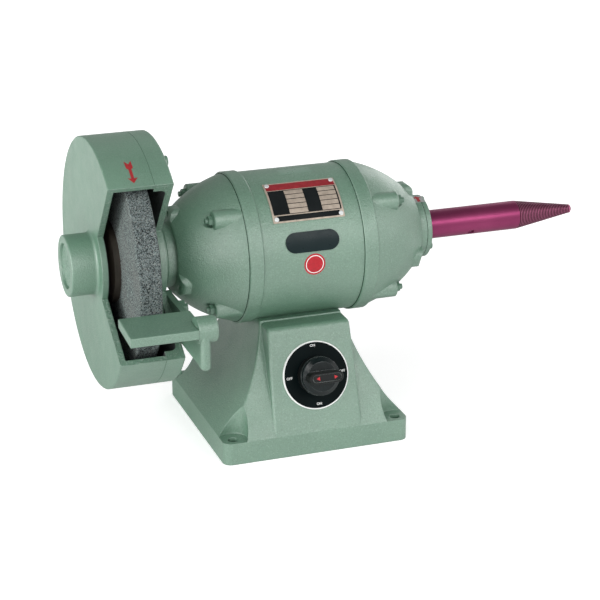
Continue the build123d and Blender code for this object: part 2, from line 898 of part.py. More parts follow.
def shield_outer():
    """Outside of an end shield, turned about the shaft: band, dome and bearing neck."""
    return turned(
        Polyline(
            (shell_half, 0),
            (shell_half, band_r - band_edge),
            (shell_half + band_edge, band_r),
            (band_outer - band_edge, band_r),
            (band_outer, band_r - band_edge),
            (band_outer, dome_start_r),
        ),
        ThreePointArc((band_outer, dome_start_r), (dome_mid_x, dome_mid_r), (dome_reach, dome_end_r)),
        Polyline(
            (dome_reach, dome_end_r),
            (dome_reach, neck_r),
            (shield_reach - neck_edge, neck_r),
            (shield_reach, neck_r - neck_edge),
            (shield_reach, 0),
            (shell_half, 0),
        ),
    )


def shield_hollow():
    """Inside of an end shield, which leaves the bearing housing standing."""
    inner_mid = (dome_mid_x - shield_wall / 2, dome_mid_r - shield_wall)
    pocket = hub_reach + shield_wall
    pocket_r = hub_r + shield_wall
    start_r = dome_start_r - shield_wall
    return turned(
        Polyline((shell_half, 0), (shell_half, start_r), (band_outer, start_r)),
        ThreePointArc((band_outer, start_r), inner_mid, (pocket, pocket_r)),
        Polyline((pocket, pocket_r), (pocket, hub_r), (hub_reach, hub_r), (hub_reach, 0), (shell_half, 0)),
    )


def make_end_shield():
    """End shield of the spindle side, counted from the motor's middle."""
    body = shield_outer()
    for angle in tie_angles:
        boss = disc(tie_boss_r, shell_half + band_width / 2, tie_boss_reach)
        boss = chamfer(boss.edges().filter_by(GeomType.CIRCLE).sort_by(Axis.X)[-1], tie_boss_edge)
        y, z = about(angle, tie_circle_r)
        body += Pos(0, y, z) * boss
    for angle in lug_angles:
        lug = Pos(dome_reach - lug_length / 2, 0, lug_r / 2) * Box(lug_length, lug_width, lug_r)
        top_edges = lug.edges().group_by(Axis.Z)[-1]
        face_edge = top_edges.filter_by(Axis.Y).sort_by(Axis.X)[-1:]
        lug = fillet(top_edges.filter_by(Axis.X) + face_edge, lug_edge)
        body += Rot(X=90 - angle) * lug
    body -= shield_hollow()
    spigot_r = shell_inner_r - seat_gap
    body += ring(spigot_r, spigot_r - spigot_wall, shell_half - spigot_length, shell_half + spigot_wall)
    body -= disc(bearing_outer_r + seat_gap, bearing_inner_face, shield_reach)
    body -= disc(shoulder_lip_r, hub_reach, shield_reach)
    for angle in tie_angles:
        body -= rod(tie_rod_r + pocket_gap, 0, tie_boss_reach, *about(angle, tie_circle_r))
        body -= rod(tie_spotface_r, tie_boss_reach, dome_reach, *about(angle, tie_circle_r))
    for angle in lug_angles:
        body -= rod(lug_hole_r, dome_reach - lug_hole_depth, dome_reach, *about(angle, lug_hole_circle_r))
    for angle in cap_screw_angles:
        hole = (shield_reach - cap_screw_length, shield_reach, *about(angle, cap_screw_circle_r))
        body -= rod(cap_screw_r + seat_gap, *hole)
    return body


def make_bearing():
    """Inner race, outer race, balls and cage of one bearing, centred on the shaft at X = 0."""
    half = bearing_width / 2
    pitch_r = (race_inner_r + race_outer_r) / 2
    groove = revolve(Pos(0, pitch_r) * Circle(ball_r + ball_gap), Axis.X)
    inner = ring(race_inner_r, bearing_bore_r, -half, half) - groove
    outer = ring(bearing_outer_r, race_outer_r, -half, half) - groove
    cage = ring(cage_outer_r, cage_inner_r, -cage_width / 2, cage_width / 2)
    balls = []
    for i in range(ball_count):
        place = Pos(0, *about(360 * i / ball_count, pitch_r))
        cage -= place * Sphere(ball_r + ball_gap)
        balls.append(place * Sphere(ball_r))
    return {"inner_race": inner, "outer_race": outer, "balls": Compound(children=balls), "cage": cage}


def make_preload_washer():
    """Spring washer between the guard's spigot and the wheel-side bearing."""
    face = motor_x - bearing_outer_face
    return on_shaft(ring(bearing_outer_r - seat_gap, washer_inner_r, face - preload_washer, face))


def make_bearing_cap():
    """Turned cap over the spindle-side bearing, with a spigot that holds its outer race."""
    cap = turned_polygon(
        (right_neck_x - bearing_recess, cap_bore_r),
        (right_neck_x - bearing_recess, bearing_outer_r - seat_gap),
        (right_neck_x, bearing_outer_r - seat_gap),
        (right_neck_x, cap_r - neck_edge),
        (right_neck_x + neck_edge, cap_r),
        (cap_face_x - neck_edge, cap_r),
        (cap_face_x, cap_r - neck_edge),
        (cap_face_x, cap_bore_r),
    )
    cap -= disc(shoulder_lip_r, right_neck_x - bearing_recess, right_neck_x)
    for angle in cap_screw_angles:
        cap -= rod(cap_screw_r + pocket_gap, right_neck_x, cap_face_x, *about(angle, cap_screw_circle_r))
    return on_shaft(cap)


def make_bearing_cap_screws():
    """Screws of the bearing cap."""
    screws = []
    for angle in cap_screw_angles:
        y, z = about(angle, cap_screw_circle_r)
        seat = facing(cap_face_x, y, axis_height + z, (1, 0, 0))
        screws.append(seat * pan_screw(cap_screw_r, cap_screw_length))
    return Compound(children=screws)


def tie_nut_height():
    """Height of a tie rod nut."""
    return 2 * tie_rod_r * nut_height_ratio


def make_tie_rods():
    """Four rods that clamp the end shields on the shell."""
    reach = tie_boss_reach + tie_nut_height() + tie_end
    rods = []
    for angle in tie_angles:
        y, z = about(angle, tie_circle_r)
        rods.append(rod(tie_rod_r, motor_x - reach, motor_x + reach, y, axis_height + z))
    return Compound(children=rods)


def make_tie_rod_nuts():
    """A nut on each end of each tie rod."""
    nuts = []
    for angle in tie_angles:
        y, z = about(angle, tie_circle_r)
        for side in (-1, 1):
            seat = facing(motor_x + side * tie_boss_reach, y, axis_height + z, (side, 0, 0))
            nuts.append(seat * hex_nut(tie_rod_r))
    return Compound(children=nuts)


def guard_mouth():
    """Wedge in front of the wheel that is cut out of both halves of the guard."""
    far = 2 * guard_r
    corners = [(0, 0)] + [about(a, far) for a in (mouth_bottom, (mouth_bottom + mouth_top) / 2, mouth_top)]
    wedge = make_face(Polyline(*corners, close=True)) - Circle(mouth_inner_r)
    return Pos(hub_end_x, 0, 0) * extrude(Plane.YZ * wedge, left_neck_x - hub_end_x)


def make_guard_back():
    """Back half of the guard, bolted to the wheel-side neck."""
    rim_r = guard_r - guard_back_rim
    bend = guard_back_fillet * (1 - math.sqrt(0.5))
    body = turned(
        Polyline(
            (guard_seam_x, rim_r),
            (guard_seam_x, guard_r),
            (guard_back_x - guard_edge, guard_r),
            (guard_back_x, guard_r - guard_edge),
            (guard_back_x, 0),
            (guard_inner_x, 0),
            (guard_inner_x, rim_r - guard_back_fillet),
        ),
        ThreePointArc(
            (guard_inner_x, rim_r - guard_back_fillet),
            (guard_inner_x - bend, rim_r - bend),
            (guard_inner_x - guard_back_fillet, rim_r),
        ),
        Line((guard_inner_x - guard_back_fillet, rim_r), (guard_seam_x, rim_r)),
    )
    body -= guard_mouth()
    body += disc(neck_r, guard_back_x, left_neck_x)
    body += disc(bearing_outer_r - seat_gap, left_neck_x, motor_x - bearing_outer_face - preload_washer)
    body -= disc(guard_shaft_hole_r, guard_inner_x, motor_x)
    for angle in cap_screw_angles:
        y, z = about(angle, cap_screw_circle_r)
        body -= rod(cap_screw_r + pocket_gap, guard_inner_x, left_neck_x, y, z)
        body -= facing(guard_inner_x, y, z, (-1, 0, 0)) * countersink(pocket_gap)
    for angle in guard_screw_angles:
        y, z = about(angle, guard_screw_circle_r)
        body -= rod(guard_screw_r + pocket_gap, guard_seam_x, guard_back_x, y, z)
    body = on_shaft(body)
    return body - rod(arm_bolt_r + seat_gap, guard_inner_x, guard_back_x, arm_bolt_y, arm_bolt_height)


def countersink(gap):
    """Cone of a countersunk head whose flat face lies on Z = 0, pointing down."""
    height = cap_screw_r * screw_head_ratio - cap_screw_r
    return Pos(0, 0, -height / 2) * Cone(cap_screw_r + gap, cap_screw_r * screw_head_ratio + gap, height)


def make_guard_mount_screws():
    """Countersunk screws from inside the guard into the wheel-side neck."""
    screws = []
    length = guard_back_wall + guard_pad + cap_screw_length - seat_gap
    for angle in cap_screw_angles:
        y, z = about(angle, cap_screw_circle_r)
        screw = peg(cap_screw_r, -length, 0) + countersink(0)
        screws.append(facing(guard_inner_x, y, axis_height + z, (-1, 0, 0)) * screw)
    return Compound(children=screws)


def make_guard_cover():
    """Outer half of the guard with its hollow hub boss."""
    rim_r = guard_r - guard_cover_rim
    bend = hub_boss_fillet * (1 - math.sqrt(0.5))
    recess_x = hub_end_x + hub_recess_depth
    hollow_x = recess_x + hub_end_wall
    body = turned(
        Polyline(
            (hollow_x, 0),
            (recess_x, 0),
            (recess_x, hub_recess_r),
            (hub_end_x, hub_recess_r + guard_edge),
            (hub_end_x, hub_boss_r - guard_edge),
            (hub_end_x + guard_edge, hub_boss_r),
            (guard_cover_x - hub_boss_fillet, hub_boss_r),
        ),
        ThreePointArc(
            (guard_cover_x - hub_boss_fillet, hub_boss_r),
            (guard_cover_x - bend, hub_boss_r + bend),
            (guard_cover_x, hub_boss_r + hub_boss_fillet),
        ),
        Polyline(
            (guard_cover_x, hub_boss_r + hub_boss_fillet),
            (guard_cover_x, guard_r - guard_edge),
            (guard_cover_x + guard_edge, guard_r),
            (guard_seam_x, guard_r),
            (guard_seam_x, rim_r),
            (guard_cover_inner_x, rim_r),
            (guard_cover_inner_x, hub_hollow_r),
            (hollow_x, hub_hollow_r),
            (hollow_x, 0),
        ),
    )
    body -= guard_mouth()
    for angle in guard_screw_angles:
        y, z = about(angle, guard_screw_circle_r)
        body += rod(guard_screw_boss_r, guard_seam_x - guard_screw_engagement, guard_seam_x, y, z)
        body -= rod(guard_screw_r + seat_gap, guard_seam_x - guard_screw_engagement, guard_seam_x, y, z)
    return on_shaft(body)


def make_guard_cover_screws():
    """Screws through the back half's rim into the cover."""
    screws = []
    length = guard_back_depth + guard_screw_engagement - slide_gap
    for angle in guard_screw_angles:
        y, z = about(angle, guard_screw_circle_r)
        seat = facing(guard_back_x, y, axis_height + z, (1, 0, 0))
        screws.append(seat * pan_screw(guard_screw_r, length))
    return Compound(children=screws)


def make_grinding_wheel():
    """Plain straight grinding wheel with softened edges."""
    return on_shaft(
        turned_polygon(
            (wheel_left_x, wheel_bore_r),
            (wheel_left_x, wheel_r - wheel_edge),
            (wheel_left_x + wheel_edge, wheel_r),
            (wheel_right_x - wheel_edge, wheel_r),
            (wheel_right_x, wheel_r - wheel_edge),
            (wheel_right_x, wheel_bore_r),
        )
    )


def make_wheel_bush():
    """Bush that fits the wheel's bore to the arbor."""
    return on_shaft(ring(wheel_bore_r - seat_gap, arbor_r + seat_gap, wheel_left_x, wheel_right_x))


def make_wheel_blotters():
    """Card discs between the wheel and its flanges."""
    return Compound(
        children=[
            on_shaft(ring(flange_r, wheel_bore_r, wheel_right_x, inner_blotter_x)),
            on_shaft(ring(flange_r, wheel_bore_r, outer_flange_x, wheel_left_x)),
        ]
    )


def make_flange(face_x, direction):
    """Wheel flange whose clamping face is at face_x, with a relief about the arbor."""
    back_x = face_x + direction * flange_thickness
    collar_x = face_x + direction * flange_thickness / 2
    return on_shaft(
        turned_polygon(
            (face_x + direction * flange_relief, arbor_r + seat_gap),
            (face_x + direction * flange_relief, flange_relief_r),
            (face_x, flange_relief_r),
            (face_x, flange_r),
            (collar_x, flange_r),
            (back_x, flange_relief_r),
            (back_x, arbor_r + seat_gap),
        )
    )


def make_wheel_nut():
    """Nut that clamps the wheel on the arbor."""
    nut = prism(wheel_nut_flats, wheel_nut_x - wheel_nut_height, wheel_nut_x)
    return on_shaft(nut - disc(arbor_r + seat_gap, wheel_nut_x - wheel_nut_height, wheel_nut_x))


def make_rest_arm():
    """Slotted flat arm along the guard's back, with a front rib and the knuckle for the rest."""
    arm_front_y = rest_front_y + rib_depth / 2
    side_view = make_face(
        Polyline(
            (arm_front_y, arm_bottom),
            (arm_back_y, arm_bottom),
            (arm_back_y, arm_top),
            (arm_front_y, arm_top),
            close=True,
        )
    )
    bar = Pos(arm_left_x, 0, 0) * extrude(Plane.YZ * side_view, arm_thickness)
    back_edges = bar.edges().filter_by(Axis.X).group_by(Axis.Y)[-1]
    front_edges = bar.edges().filter_by(Axis.X).group_by(Axis.Y)[0]
    bar = fillet(back_edges + front_edges.sort_by(Axis.Z)[:1], arm_thickness)
    rib_middle_x = knuckle_left_x + rib_shift + rib_width / 2
    rib_outline = Pos(0, rib_depth / 2) * Rectangle(rib_width, rib_depth)
    rib = extrude(rib_outline, rest_mid_height - arm_bottom)
    rib = fillet(rib.edges().filter_by(Axis.Z).group_by(Axis.Y)[0], rib_width / 2 - slide_gap)
    foot_edges = rib.edges().group_by(Axis.Z)[0]
    rib = fillet(foot_edges.sort_by(Axis.Y)[:-1], rib_edge)
    arm = bar + Pos(rib_middle_x, rest_front_y, arm_bottom) * rib
    knuckle = rod(knuckle_r, knuckle_left_x, knuckle_right_x, knuckle_y, rest_mid_height)
    knuckle = fillet(knuckle.edges().filter_by(GeomType.CIRCLE).sort_by(Axis.X)[-1], knuckle_edge)
    arm += knuckle
    slot = SlotCenterToCenter(arm_travel, 2 * (arm_bolt_r + pocket_gap))
    slot_place = Pos(arm_left_x, arm_bolt_y + arm_travel / 2, arm_bolt_height)
    arm -= slot_place * extrude(Plane.YZ * slot, arm_thickness, both=True)
    arm -= rod(pivot_r + running_gap, knuckle_left_x, knuckle_bore_x, knuckle_y, rest_mid_height)
    return arm - lock_screw(lock_screw_r + seat_gap, 0, knuckle_r)


def make_rest_arm_bolt():
    """Bolt from inside the guard through the arm's slot."""
    length = guard_back_wall + slide_gap + arm_thickness + slide_gap + arm_washer
    length += 2 * arm_bolt_r * nut_height_ratio + tie_end
    place = facing(guard_inner_x, arm_bolt_y, arm_bolt_height, (-1, 0, 0))
    return place * hex_bolt(arm_bolt_r, length)


def make_rest_arm_nut():
    """Nut and washer that clamp the arm."""
    face_x = arm_right_x + slide_gap
    washer = rod(arm_washer_r, face_x, face_x + arm_washer, arm_bolt_y, arm_bolt_height)
    washer -= rod(arm_bolt_r + seat_gap, face_x, face_x + arm_washer, arm_bolt_y, arm_bolt_height)
    nut = facing(face_x + arm_washer, arm_bolt_y, arm_bolt_height, (1, 0, 0)) * hex_nut(arm_bolt_r)
    return Compound(children=[washer, nut])


def make_tool_rest():
    """Rest plate with a round spigot that turns in the knuckle."""
    notch_y = knuckle_y + knuckle_r + knuckle_clearance
    outline = make_face(
        Polyline(
            (rest_left_x, rest_back_y),
            (rest_right_x + knuckle_overlap, rest_back_y),
            (rest_right_x + knuckle_overlap, notch_y),
            (rest_right_x, notch_y),
            (rest_right_x, rest_front_y),
            (rest_left_x - rest_skew, rest_front_y),
            close=True,
        )
    )
    plate = Pos(0, 0, rest_top - rest_thickness) * extrude(outline, rest_thickness)
    plate = fillet(plate.edges().group_by(Axis.Z)[-1], rest_edge)
    return plate + rod(pivot_r, rest_right_x, knuckle_bore_x - slide_gap, knuckle_y, rest_mid_height)


def lock_screw(radius, start, end):
    """Cylinder that points up into the knuckle beside the arm, between two distances below the pivot."""
    middle_x = (arm_right_x + knuckle_bore_x) / 2
    return Pos(middle_x, knuckle_y, rest_mid_height) * peg(radius, -end, -start)


def make_tool_rest_screw():
    """Grub screw under the knuckle that locks the tilt."""
    return lock_screw(lock_screw_r, pivot_r + running_gap, knuckle_r - lock_screw_sink)


def make_polishing_spindle():
    """Spindle on the shaft's end: a plain barrel and a ridged taper for polishing mops."""
    ridge_count = int((taper_length - taper_nose) / ridge_pitch)
    shrink = (spindle_r - taper_tip_r) / taper_length
    points = [(spindle_start_x, 0), (spindle_start_x, spindle_r), (spindle_taper_x, spindle_r)]
    for i in range(ridge_count):
        x = spindle_taper_x + i * ridge_pitch
        radius = spindle_r - shrink * (x - spindle_taper_x)
        points.append((x + ridge_pitch / 2, radius - shrink * ridge_pitch / 2 - ridge_depth))
        points.append((x + ridge_pitch, radius - shrink * ridge_pitch))
    points.append((spindle_end_x - taper_nose / 2, taper_tip_r + shrink * taper_nose / 2))
    points.append((spindle_end_x, taper_tip_r / 2))
    points.append((spindle_end_x, 0))
    spindle = turned_polygon(*points)
    spindle -= disc(arbor_r + seat_gap, spindle_start_x, spindle_start_x + spindle_bore_depth)
    for angle in set_screw_angles:
        spindle -= set_screw_hole(angle, set_screw_r + seat_gap)
    return on_shaft(spindle)


def set_screw_hole(angle, radius):
    """Radial cylinder from the shaft's middle out through the spindle's wall."""
    pin = Pos(spindle_start_x + set_screw_place, 0, 0) * peg(radius, 0, 2 * spindle_r)
    return Rot(X=90 - angle) * pin


def make_spindle_set_screws():
    """Grub screws that hold the spindle on the shaft."""
    screws = []
    length = (spindle_r - arbor_r) * set_screw_fill
    for angle in set_screw_angles:
        pin = Pos(spindle_start_x + set_screw_place, 0, arbor_r + seat_gap) * peg(set_screw_r, 0, length)
        screws.append(on_shaft(Rot(X=90 - angle) * pin))
    return Compound(children=screws)


def shell_sheet():
    """Thin layer over the motor shell, for the plates on it."""
    inner = shell_r + seat_gap
    return on_shaft(ring(inner + plate_thickness, inner, motor_x - shell_half, motor_x + shell_half))


def rating_window():
    """Wedge about the shaft that bounds the rating plate."""
    far = 2 * shell_r
    corners = [(0, 0), about(plate_low, far), about(plate_high, far)]
    wedge = make_face(Polyline(*corners, close=True))
    return on_shaft(Pos(plate_x - plate_width / 2, 0, 0) * extrude(Plane.YZ * wedge, plate_width))


def rivet_frames():
    """Places of the rating plate's rivets, facing out from the shell."""
    inset_angle = math.degrees(rivet_inset / shell_r)
    frames = []
    for x in (plate_x - plate_width / 2 + rivet_inset, plate_x + plate_width / 2 - rivet_inset):
        for angle in (plate_low + inset_angle, plate_high - inset_angle):
            y, z = about(angle, shell_r)
            frames.append(facing(x, y, axis_height + z, (0, y, z)))
    return frames


def make_rating_plate():
    """Curved plate on the shell, left blank."""
    plate = shell_sheet() & rating_window()
    for frame in rivet_frames():
        plate -= frame * peg(rivet_r / 2 + seat_gap, 0, 2 * plate_thickness)
    return plate


def make_plate_rivets():
    """Domed rivets at the rating plate's corners."""
    rivets = []
    base = plate_thickness + 2 * seat_gap
    for frame in rivet_frames():
        head = peg(rivet_r, base, base + rivet_height)
        head = fillet(head.edges().group_by(Axis.Z)[-1], rivet_height / 2)
        rivets.append(frame * (head + peg(rivet_r / 2, seat_gap, base)))
    return Compound(children=rivets)


def make_badge_plate():
    """Pill-shaped plate on the shell's front, left blank."""
    y, z = about(badge_angle, shell_r)
    frame = Plane(origin=(plate_x, y, axis_height + z), x_dir=(1, 0, 0), z_dir=(0, y, z))
    pill = extrude(SlotOverall(badge_width, badge_height), shell_wall, both=True)
    return shell_sheet() & frame * pill


right_shield = make_end_shield()
left_shield = mirror(right_shield, about=Plane.YZ)
bearing = make_bearing()
bearing_middle = (bearing_inner_face + bearing_outer_face) / 2

nodes = {
    "pedestal": make_pedestal(),
    "bottom_cover": make_bottom_cover(),
    "bottom_cover_screws": make_bottom_cover_screws(),
    "switch_plate": make_switch_plate(),
    "switch_body": make_switch_body(),
    "switch_screws": make_switch_screws(),
    "switch_shaft": make_switch_shaft(),
    "switch_knob": make_switch_knob(),
    "capacitor": make_capacitor(),
    "capacitor_clip": make_capacitor_clip(),
    "capacitor_clip_screws": make_capacitor_clip_screws(),
    "terminal_block": make_terminal_block(),
    "terminal_screws": make_terminal_screws(),
    "motor_leads": make_motor_leads(),
    "cable_gland": make_cable_gland(),
    "gland_cap": make_gland_cap(),
    "gland_locknut": make_gland_locknut(),
    "motor_bolts": make_motor_bolts(),
    "motor_shell": make_motor_shell(),
    "stator_core": make_stator_core(),
    "stator_windings": make_stator_windings(),
    "rotor_core": make_rotor_core(),
    "rotor_cage": make_rotor_cage(),
    "shaft": make_shaft(),
    "left_end_shield": on_shaft(Pos(motor_x, 0, 0) * left_shield),
    "right_end_shield": on_shaft(Pos(motor_x, 0, 0) * right_shield),
    "preload_washer": make_preload_washer(),
    "bearing_cap": make_bearing_cap(),
    "bearing_cap_screws": make_bearing_cap_screws(),
    "tie_rods": make_tie_rods(),
    "tie_rod_nuts": make_tie_rod_nuts(),
    "guard_back": make_guard_back(),
    "guard_mount_screws": make_guard_mount_screws(),
    "guard_cover": make_guard_cover(),
    "guard_cover_screws": make_guard_cover_screws(),
    "grinding_wheel": make_grinding_wheel(),
    "wheel_bush": make_wheel_bush(),
    "wheel_blotters": make_wheel_blotters(),
    "inner_flange": make_flange(inner_blotter_x, 1),
    "outer_flange": make_flange(outer_flange_x, -1),
    "wheel_nut": make_wheel_nut(),
    "rest_arm": make_rest_arm(),
    "rest_arm_bolt": make_rest_arm_bolt(),
    "rest_arm_nut": make_rest_arm_nut(),
    "tool_rest": make_tool_rest(),
    "tool_rest_screw": make_tool_rest_screw(),
    "polishing_spindle": make_polishing_spindle(),
    "spindle_set_screws": make_spindle_set_screws(),
    "rating_plate": make_rating_plate(),
    "plate_rivets": make_plate_rivets(),
    "badge_plate": make_badge_plate(),
}
for side, place in (("left", motor_x - bearing_middle), ("right", motor_x + bearing_middle)):
    for piece, solid in bearing.items():
        nodes[f"{side}_bearing_{piece}"] = on_shaft(Pos(place, 0, 0) * solid)

os.makedirs("parts", exist_ok=True)
for name, node in nodes.items():
    export_step(node, f"parts/{name}.step")
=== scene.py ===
import json
import math

import bmesh
import bpy
import numpy as np
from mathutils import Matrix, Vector


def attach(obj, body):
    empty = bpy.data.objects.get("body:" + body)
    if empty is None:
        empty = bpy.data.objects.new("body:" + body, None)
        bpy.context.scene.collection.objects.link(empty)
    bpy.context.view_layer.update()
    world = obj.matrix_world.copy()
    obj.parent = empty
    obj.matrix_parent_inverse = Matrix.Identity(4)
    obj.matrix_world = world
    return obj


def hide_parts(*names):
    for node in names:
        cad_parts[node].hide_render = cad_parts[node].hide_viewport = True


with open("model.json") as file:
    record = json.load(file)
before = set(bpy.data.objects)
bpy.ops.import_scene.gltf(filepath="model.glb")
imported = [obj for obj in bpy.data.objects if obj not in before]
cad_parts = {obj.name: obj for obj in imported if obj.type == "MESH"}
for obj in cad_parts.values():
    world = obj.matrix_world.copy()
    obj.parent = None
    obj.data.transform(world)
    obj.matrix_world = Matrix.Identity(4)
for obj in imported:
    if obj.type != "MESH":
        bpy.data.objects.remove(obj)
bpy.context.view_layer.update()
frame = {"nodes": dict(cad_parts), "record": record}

# Lengths of the part are in millimetres and turned into metres by MM.
# X runs along the shaft, Y to the back, Z up. An angle about the shaft is counted upwards from the front.
# Materials, floor, sky and lamps work in metres.
MM = 0.001
AXIS_Z = 174.0
SHELL_R = 67.5
NECK_R = 29.3
GUARD_R = 113.0
GUARD_SEAM_X = -141.0
GUARD_INSIDE_R = 108.0
GUARD_INSIDE_LEFT, GUARD_INSIDE_RIGHT = -176.8, -129.6
GUARD_INSIDE_BLEND = 0.4
MOUTH_TOP, MOUTH_OPEN = 51.8, 274.7
SPINDLE_R, TAPER_TIP_R = 13.4, 3.8
TAPER_X, TAPER_LENGTH = 229.7, 59.0
PANEL_LEAN = math.radians(17.2)
DIAL_PLACE = Vector((2.5, -73.739, 70.0))
DIAL_TOP = 2.0
KNOB_LEDGE = 12.0
CAP_TOP = 20.0
GRIP_TOP = 33.0
SEED = 20


# Mesh helpers
def add_piece(name, bm, material, body, smooth_angle=35.0):
    """Turns a bmesh in millimetres into an object that rides on a body."""
    bmesh.ops.recalc_face_normals(bm, faces=bm.faces[:])
    bmesh.ops.scale(bm, vec=(MM, MM, MM), verts=bm.verts[:])
    mesh = bpy.data.meshes.new(name)
    bm.to_mesh(mesh)
    bm.free()
    obj = bpy.data.objects.new(name, mesh)
    bpy.context.scene.collection.objects.link(obj)
    mesh.materials.append(material)
    mesh.shade_smooth()
    mesh.set_sharp_from_angle(angle=math.radians(smooth_angle))
    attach(obj, body)
    return obj


def grid_faces(rows, columns, close_rows, close_columns):
    """Quads of a grid whose vertices are counted row by row."""
    faces = []
    for i in range(rows if close_rows else rows - 1):
        for j in range(columns if close_columns else columns - 1):
            k, n = (i + 1) % rows, (j + 1) % columns
            faces.append((i * columns + j, i * columns + n, k * columns + n, k * columns + j))
    return faces


def bmesh_from(verts, faces):
    """A bmesh from plain lists."""
    bm = bmesh.new()
    made = [bm.verts.new(v) for v in verts]
    for face in faces:
        bm.faces.new([made[i] for i in face])
    return bm


def turned(profile, steps, place):
    """Closed profile of (height, radius) points turned about an axis; place gives the point for each."""
    verts = []
    for height, radius in profile:
        for j in range(steps):
            turn = 2 * math.pi * j / steps
            verts.append(place(radius * math.cos(turn), radius * math.sin(turn), height))
    return bmesh_from(verts, grid_faces(len(profile), steps, True, True))


def on_drum(radius, x, angle):
    """Mapping of flat (u, v, w) onto a drum about the shaft, starting at x and at an angle from the front."""
    start = math.radians(angle)

    def place(u, v, w):
        turn = start + v / radius
        return Vector((x + u, -(radius + w) * math.cos(turn), AXIS_Z + (radius + w) * math.sin(turn)))

    return place


def on_dial(u, v, w):
    """Mapping of flat (u, v, w) onto the dial, w standing out of the panel."""
    up = Vector((0, math.sin(PANEL_LEAN), math.cos(PANEL_LEAN)))
    out = Vector((0, -math.cos(PANEL_LEAN), math.sin(PANEL_LEAN)))
    return DIAL_PLACE + Vector((u, 0, 0)) + up * v + out * w


def on_shaft(u, v, w):
    """Mapping for rings about the shaft, w along it."""
    return Vector((w, u, AXIS_Z + v))


def plate(loops, low, high, place, cut_step=None):
    """Thin plate with flat outlines, the first one outer and the rest holes, bent by the mapping."""
    bm = bmesh.new()
    for loop in loops:
        verts = [bm.verts.new((u, v, 0)) for u, v in loop]
        for i, vert in enumerate(verts):
            bm.edges.new((vert, verts[(i + 1) % len(verts)]))
    bmesh.ops.triangle_fill(bm, use_beauty=True, edges=bm.edges[:])
    if cut_step:
        lowest = min(v for loop in loops for u, v in loop)
        highest = max(v for loop in loops for u, v in loop)
        for i in range(1, int((highest - lowest) / cut_step) + 1):
            geom = bm.verts[:] + bm.edges[:] + bm.faces[:]
            bmesh.ops.bisect_plane(bm, geom=geom, plane_co=(0, lowest + i * cut_step, 0), plane_no=(0, 1, 0))
    top = bmesh.ops.extrude_face_region(bm, geom=bm.faces[:])["geom"]
    raised = {item for item in top if isinstance(item, bmesh.types.BMVert)}
    for vert in bm.verts:
        vert.co = place(vert.co.x, vert.co.y, high if vert in raised else low)
    return bm


def rectangle(u0, u1, v0, v1):
    """Corners of a rectangle."""
    return [(u0, v0), (u1, v0), (u1, v1), (u0, v1)]


def circle(radius, steps=64):
    """Points of a circle."""
    turns = [2 * math.pi * i / steps for i in range(steps)]
    return [(radius * math.cos(turn), radius * math.sin(turn)) for turn in turns]


def pill(width, height, steps=20):
    """Points of a slot with round ends."""
    reach, radius = width / 2 - height / 2, height / 2
    points = []
    for side in (1, -1):
        for i in range(steps + 1):
            turn = -math.pi / 2 + math.pi * i / steps
            points.append((side * (reach + radius * math.cos(turn)), side * radius * math.sin(turn)))
    return points


def merge(parts):
    """One bmesh out of several."""
    mesh = bpy.data.meshes.new("merged")
    whole = bmesh.new()
    for part in parts:
        part.to_mesh(mesh)
        part.free()
        whole.from_mesh(mesh)
    bpy.data.meshes.remove(mesh)
    return whole


def words(text, size, depth, place):
    """Raised lettering as a bmesh, centred on the mapping's origin."""
    curve = bpy.data.curves.new("lettering", "FONT")
    curve.body = text
    curve.size = size
    curve.align_x = "CENTER"
    curve.align_y = "CENTER"
    curve.extrude = depth / 2
    curve.offset = size * 0.008
    holder = bpy.data.objects.new("lettering", curve)
    bpy.context.scene.collection.objects.link(holder)
    bpy.context.view_layer.update()
    mesh = bpy.data.meshes.new_from_object(holder.evaluated_get(bpy.context.evaluated_depsgraph_get()))
    bm = bmesh.new()
    bm.from_mesh(mesh)
    bmesh.ops.remove_doubles(bm, verts=bm.verts[:], dist=size * 0.001)
    for vert in bm.verts:
        vert.co = place(vert.co.x, vert.co.y, vert.co.z + depth / 2)
    bpy.data.objects.remove(holder)
    bpy.data.curves.remove(curve)
    bpy.data.meshes.remove(mesh)
    return bm


# Node helpers
class Nodes:
    """A node tree with short ways to add nodes to it."""

    def __init__(self, tree):
        self.tree = tree

    def put(self, value, socket):
        """Links another socket, or sets a plain value."""
        if isinstance(value, bpy.types.NodeSocket):
            self.tree.links.new(value, socket)
        else:
            socket.default_value = value

    def add(self, kind, settings=None, **inputs):
        """A node with its settings, and its inputs by name, or by number as i0, i1 and so on."""
        node = self.tree.nodes.new(kind)
        for key, value in (settings or {}).items():
            setattr(node, key, value)
        for key, value in inputs.items():
            by_number = key[0] == "i" and key[1:].isdigit()
            self.put(value, node.inputs[int(key[1:]) if by_number else key.replace("_", " ")])
        return node

    def spread(self, value, low, high, out_low=0.0, out_high=1.0, shape="LINEAR"):
        """Value rescaled from one range to another, held at the ends."""
        node = self.add(
            "ShaderNodeMapRange",
            {"interpolation_type": shape},
            Value=value,
            From_Min=low,
            From_Max=high,
            To_Min=out_low,
            To_Max=out_high,
        )
        return node.outputs["Result"]

    def math(self, operation, first, second=0.0):
        """One arithmetic step."""
        return self.add("ShaderNodeMath", {"operation": operation}, i0=first, i1=second).outputs[0]

    def split(self, vector):
        """The three parts of a vector."""
        return self.add("ShaderNodeSeparateXYZ", Vector=vector).outputs[:3]


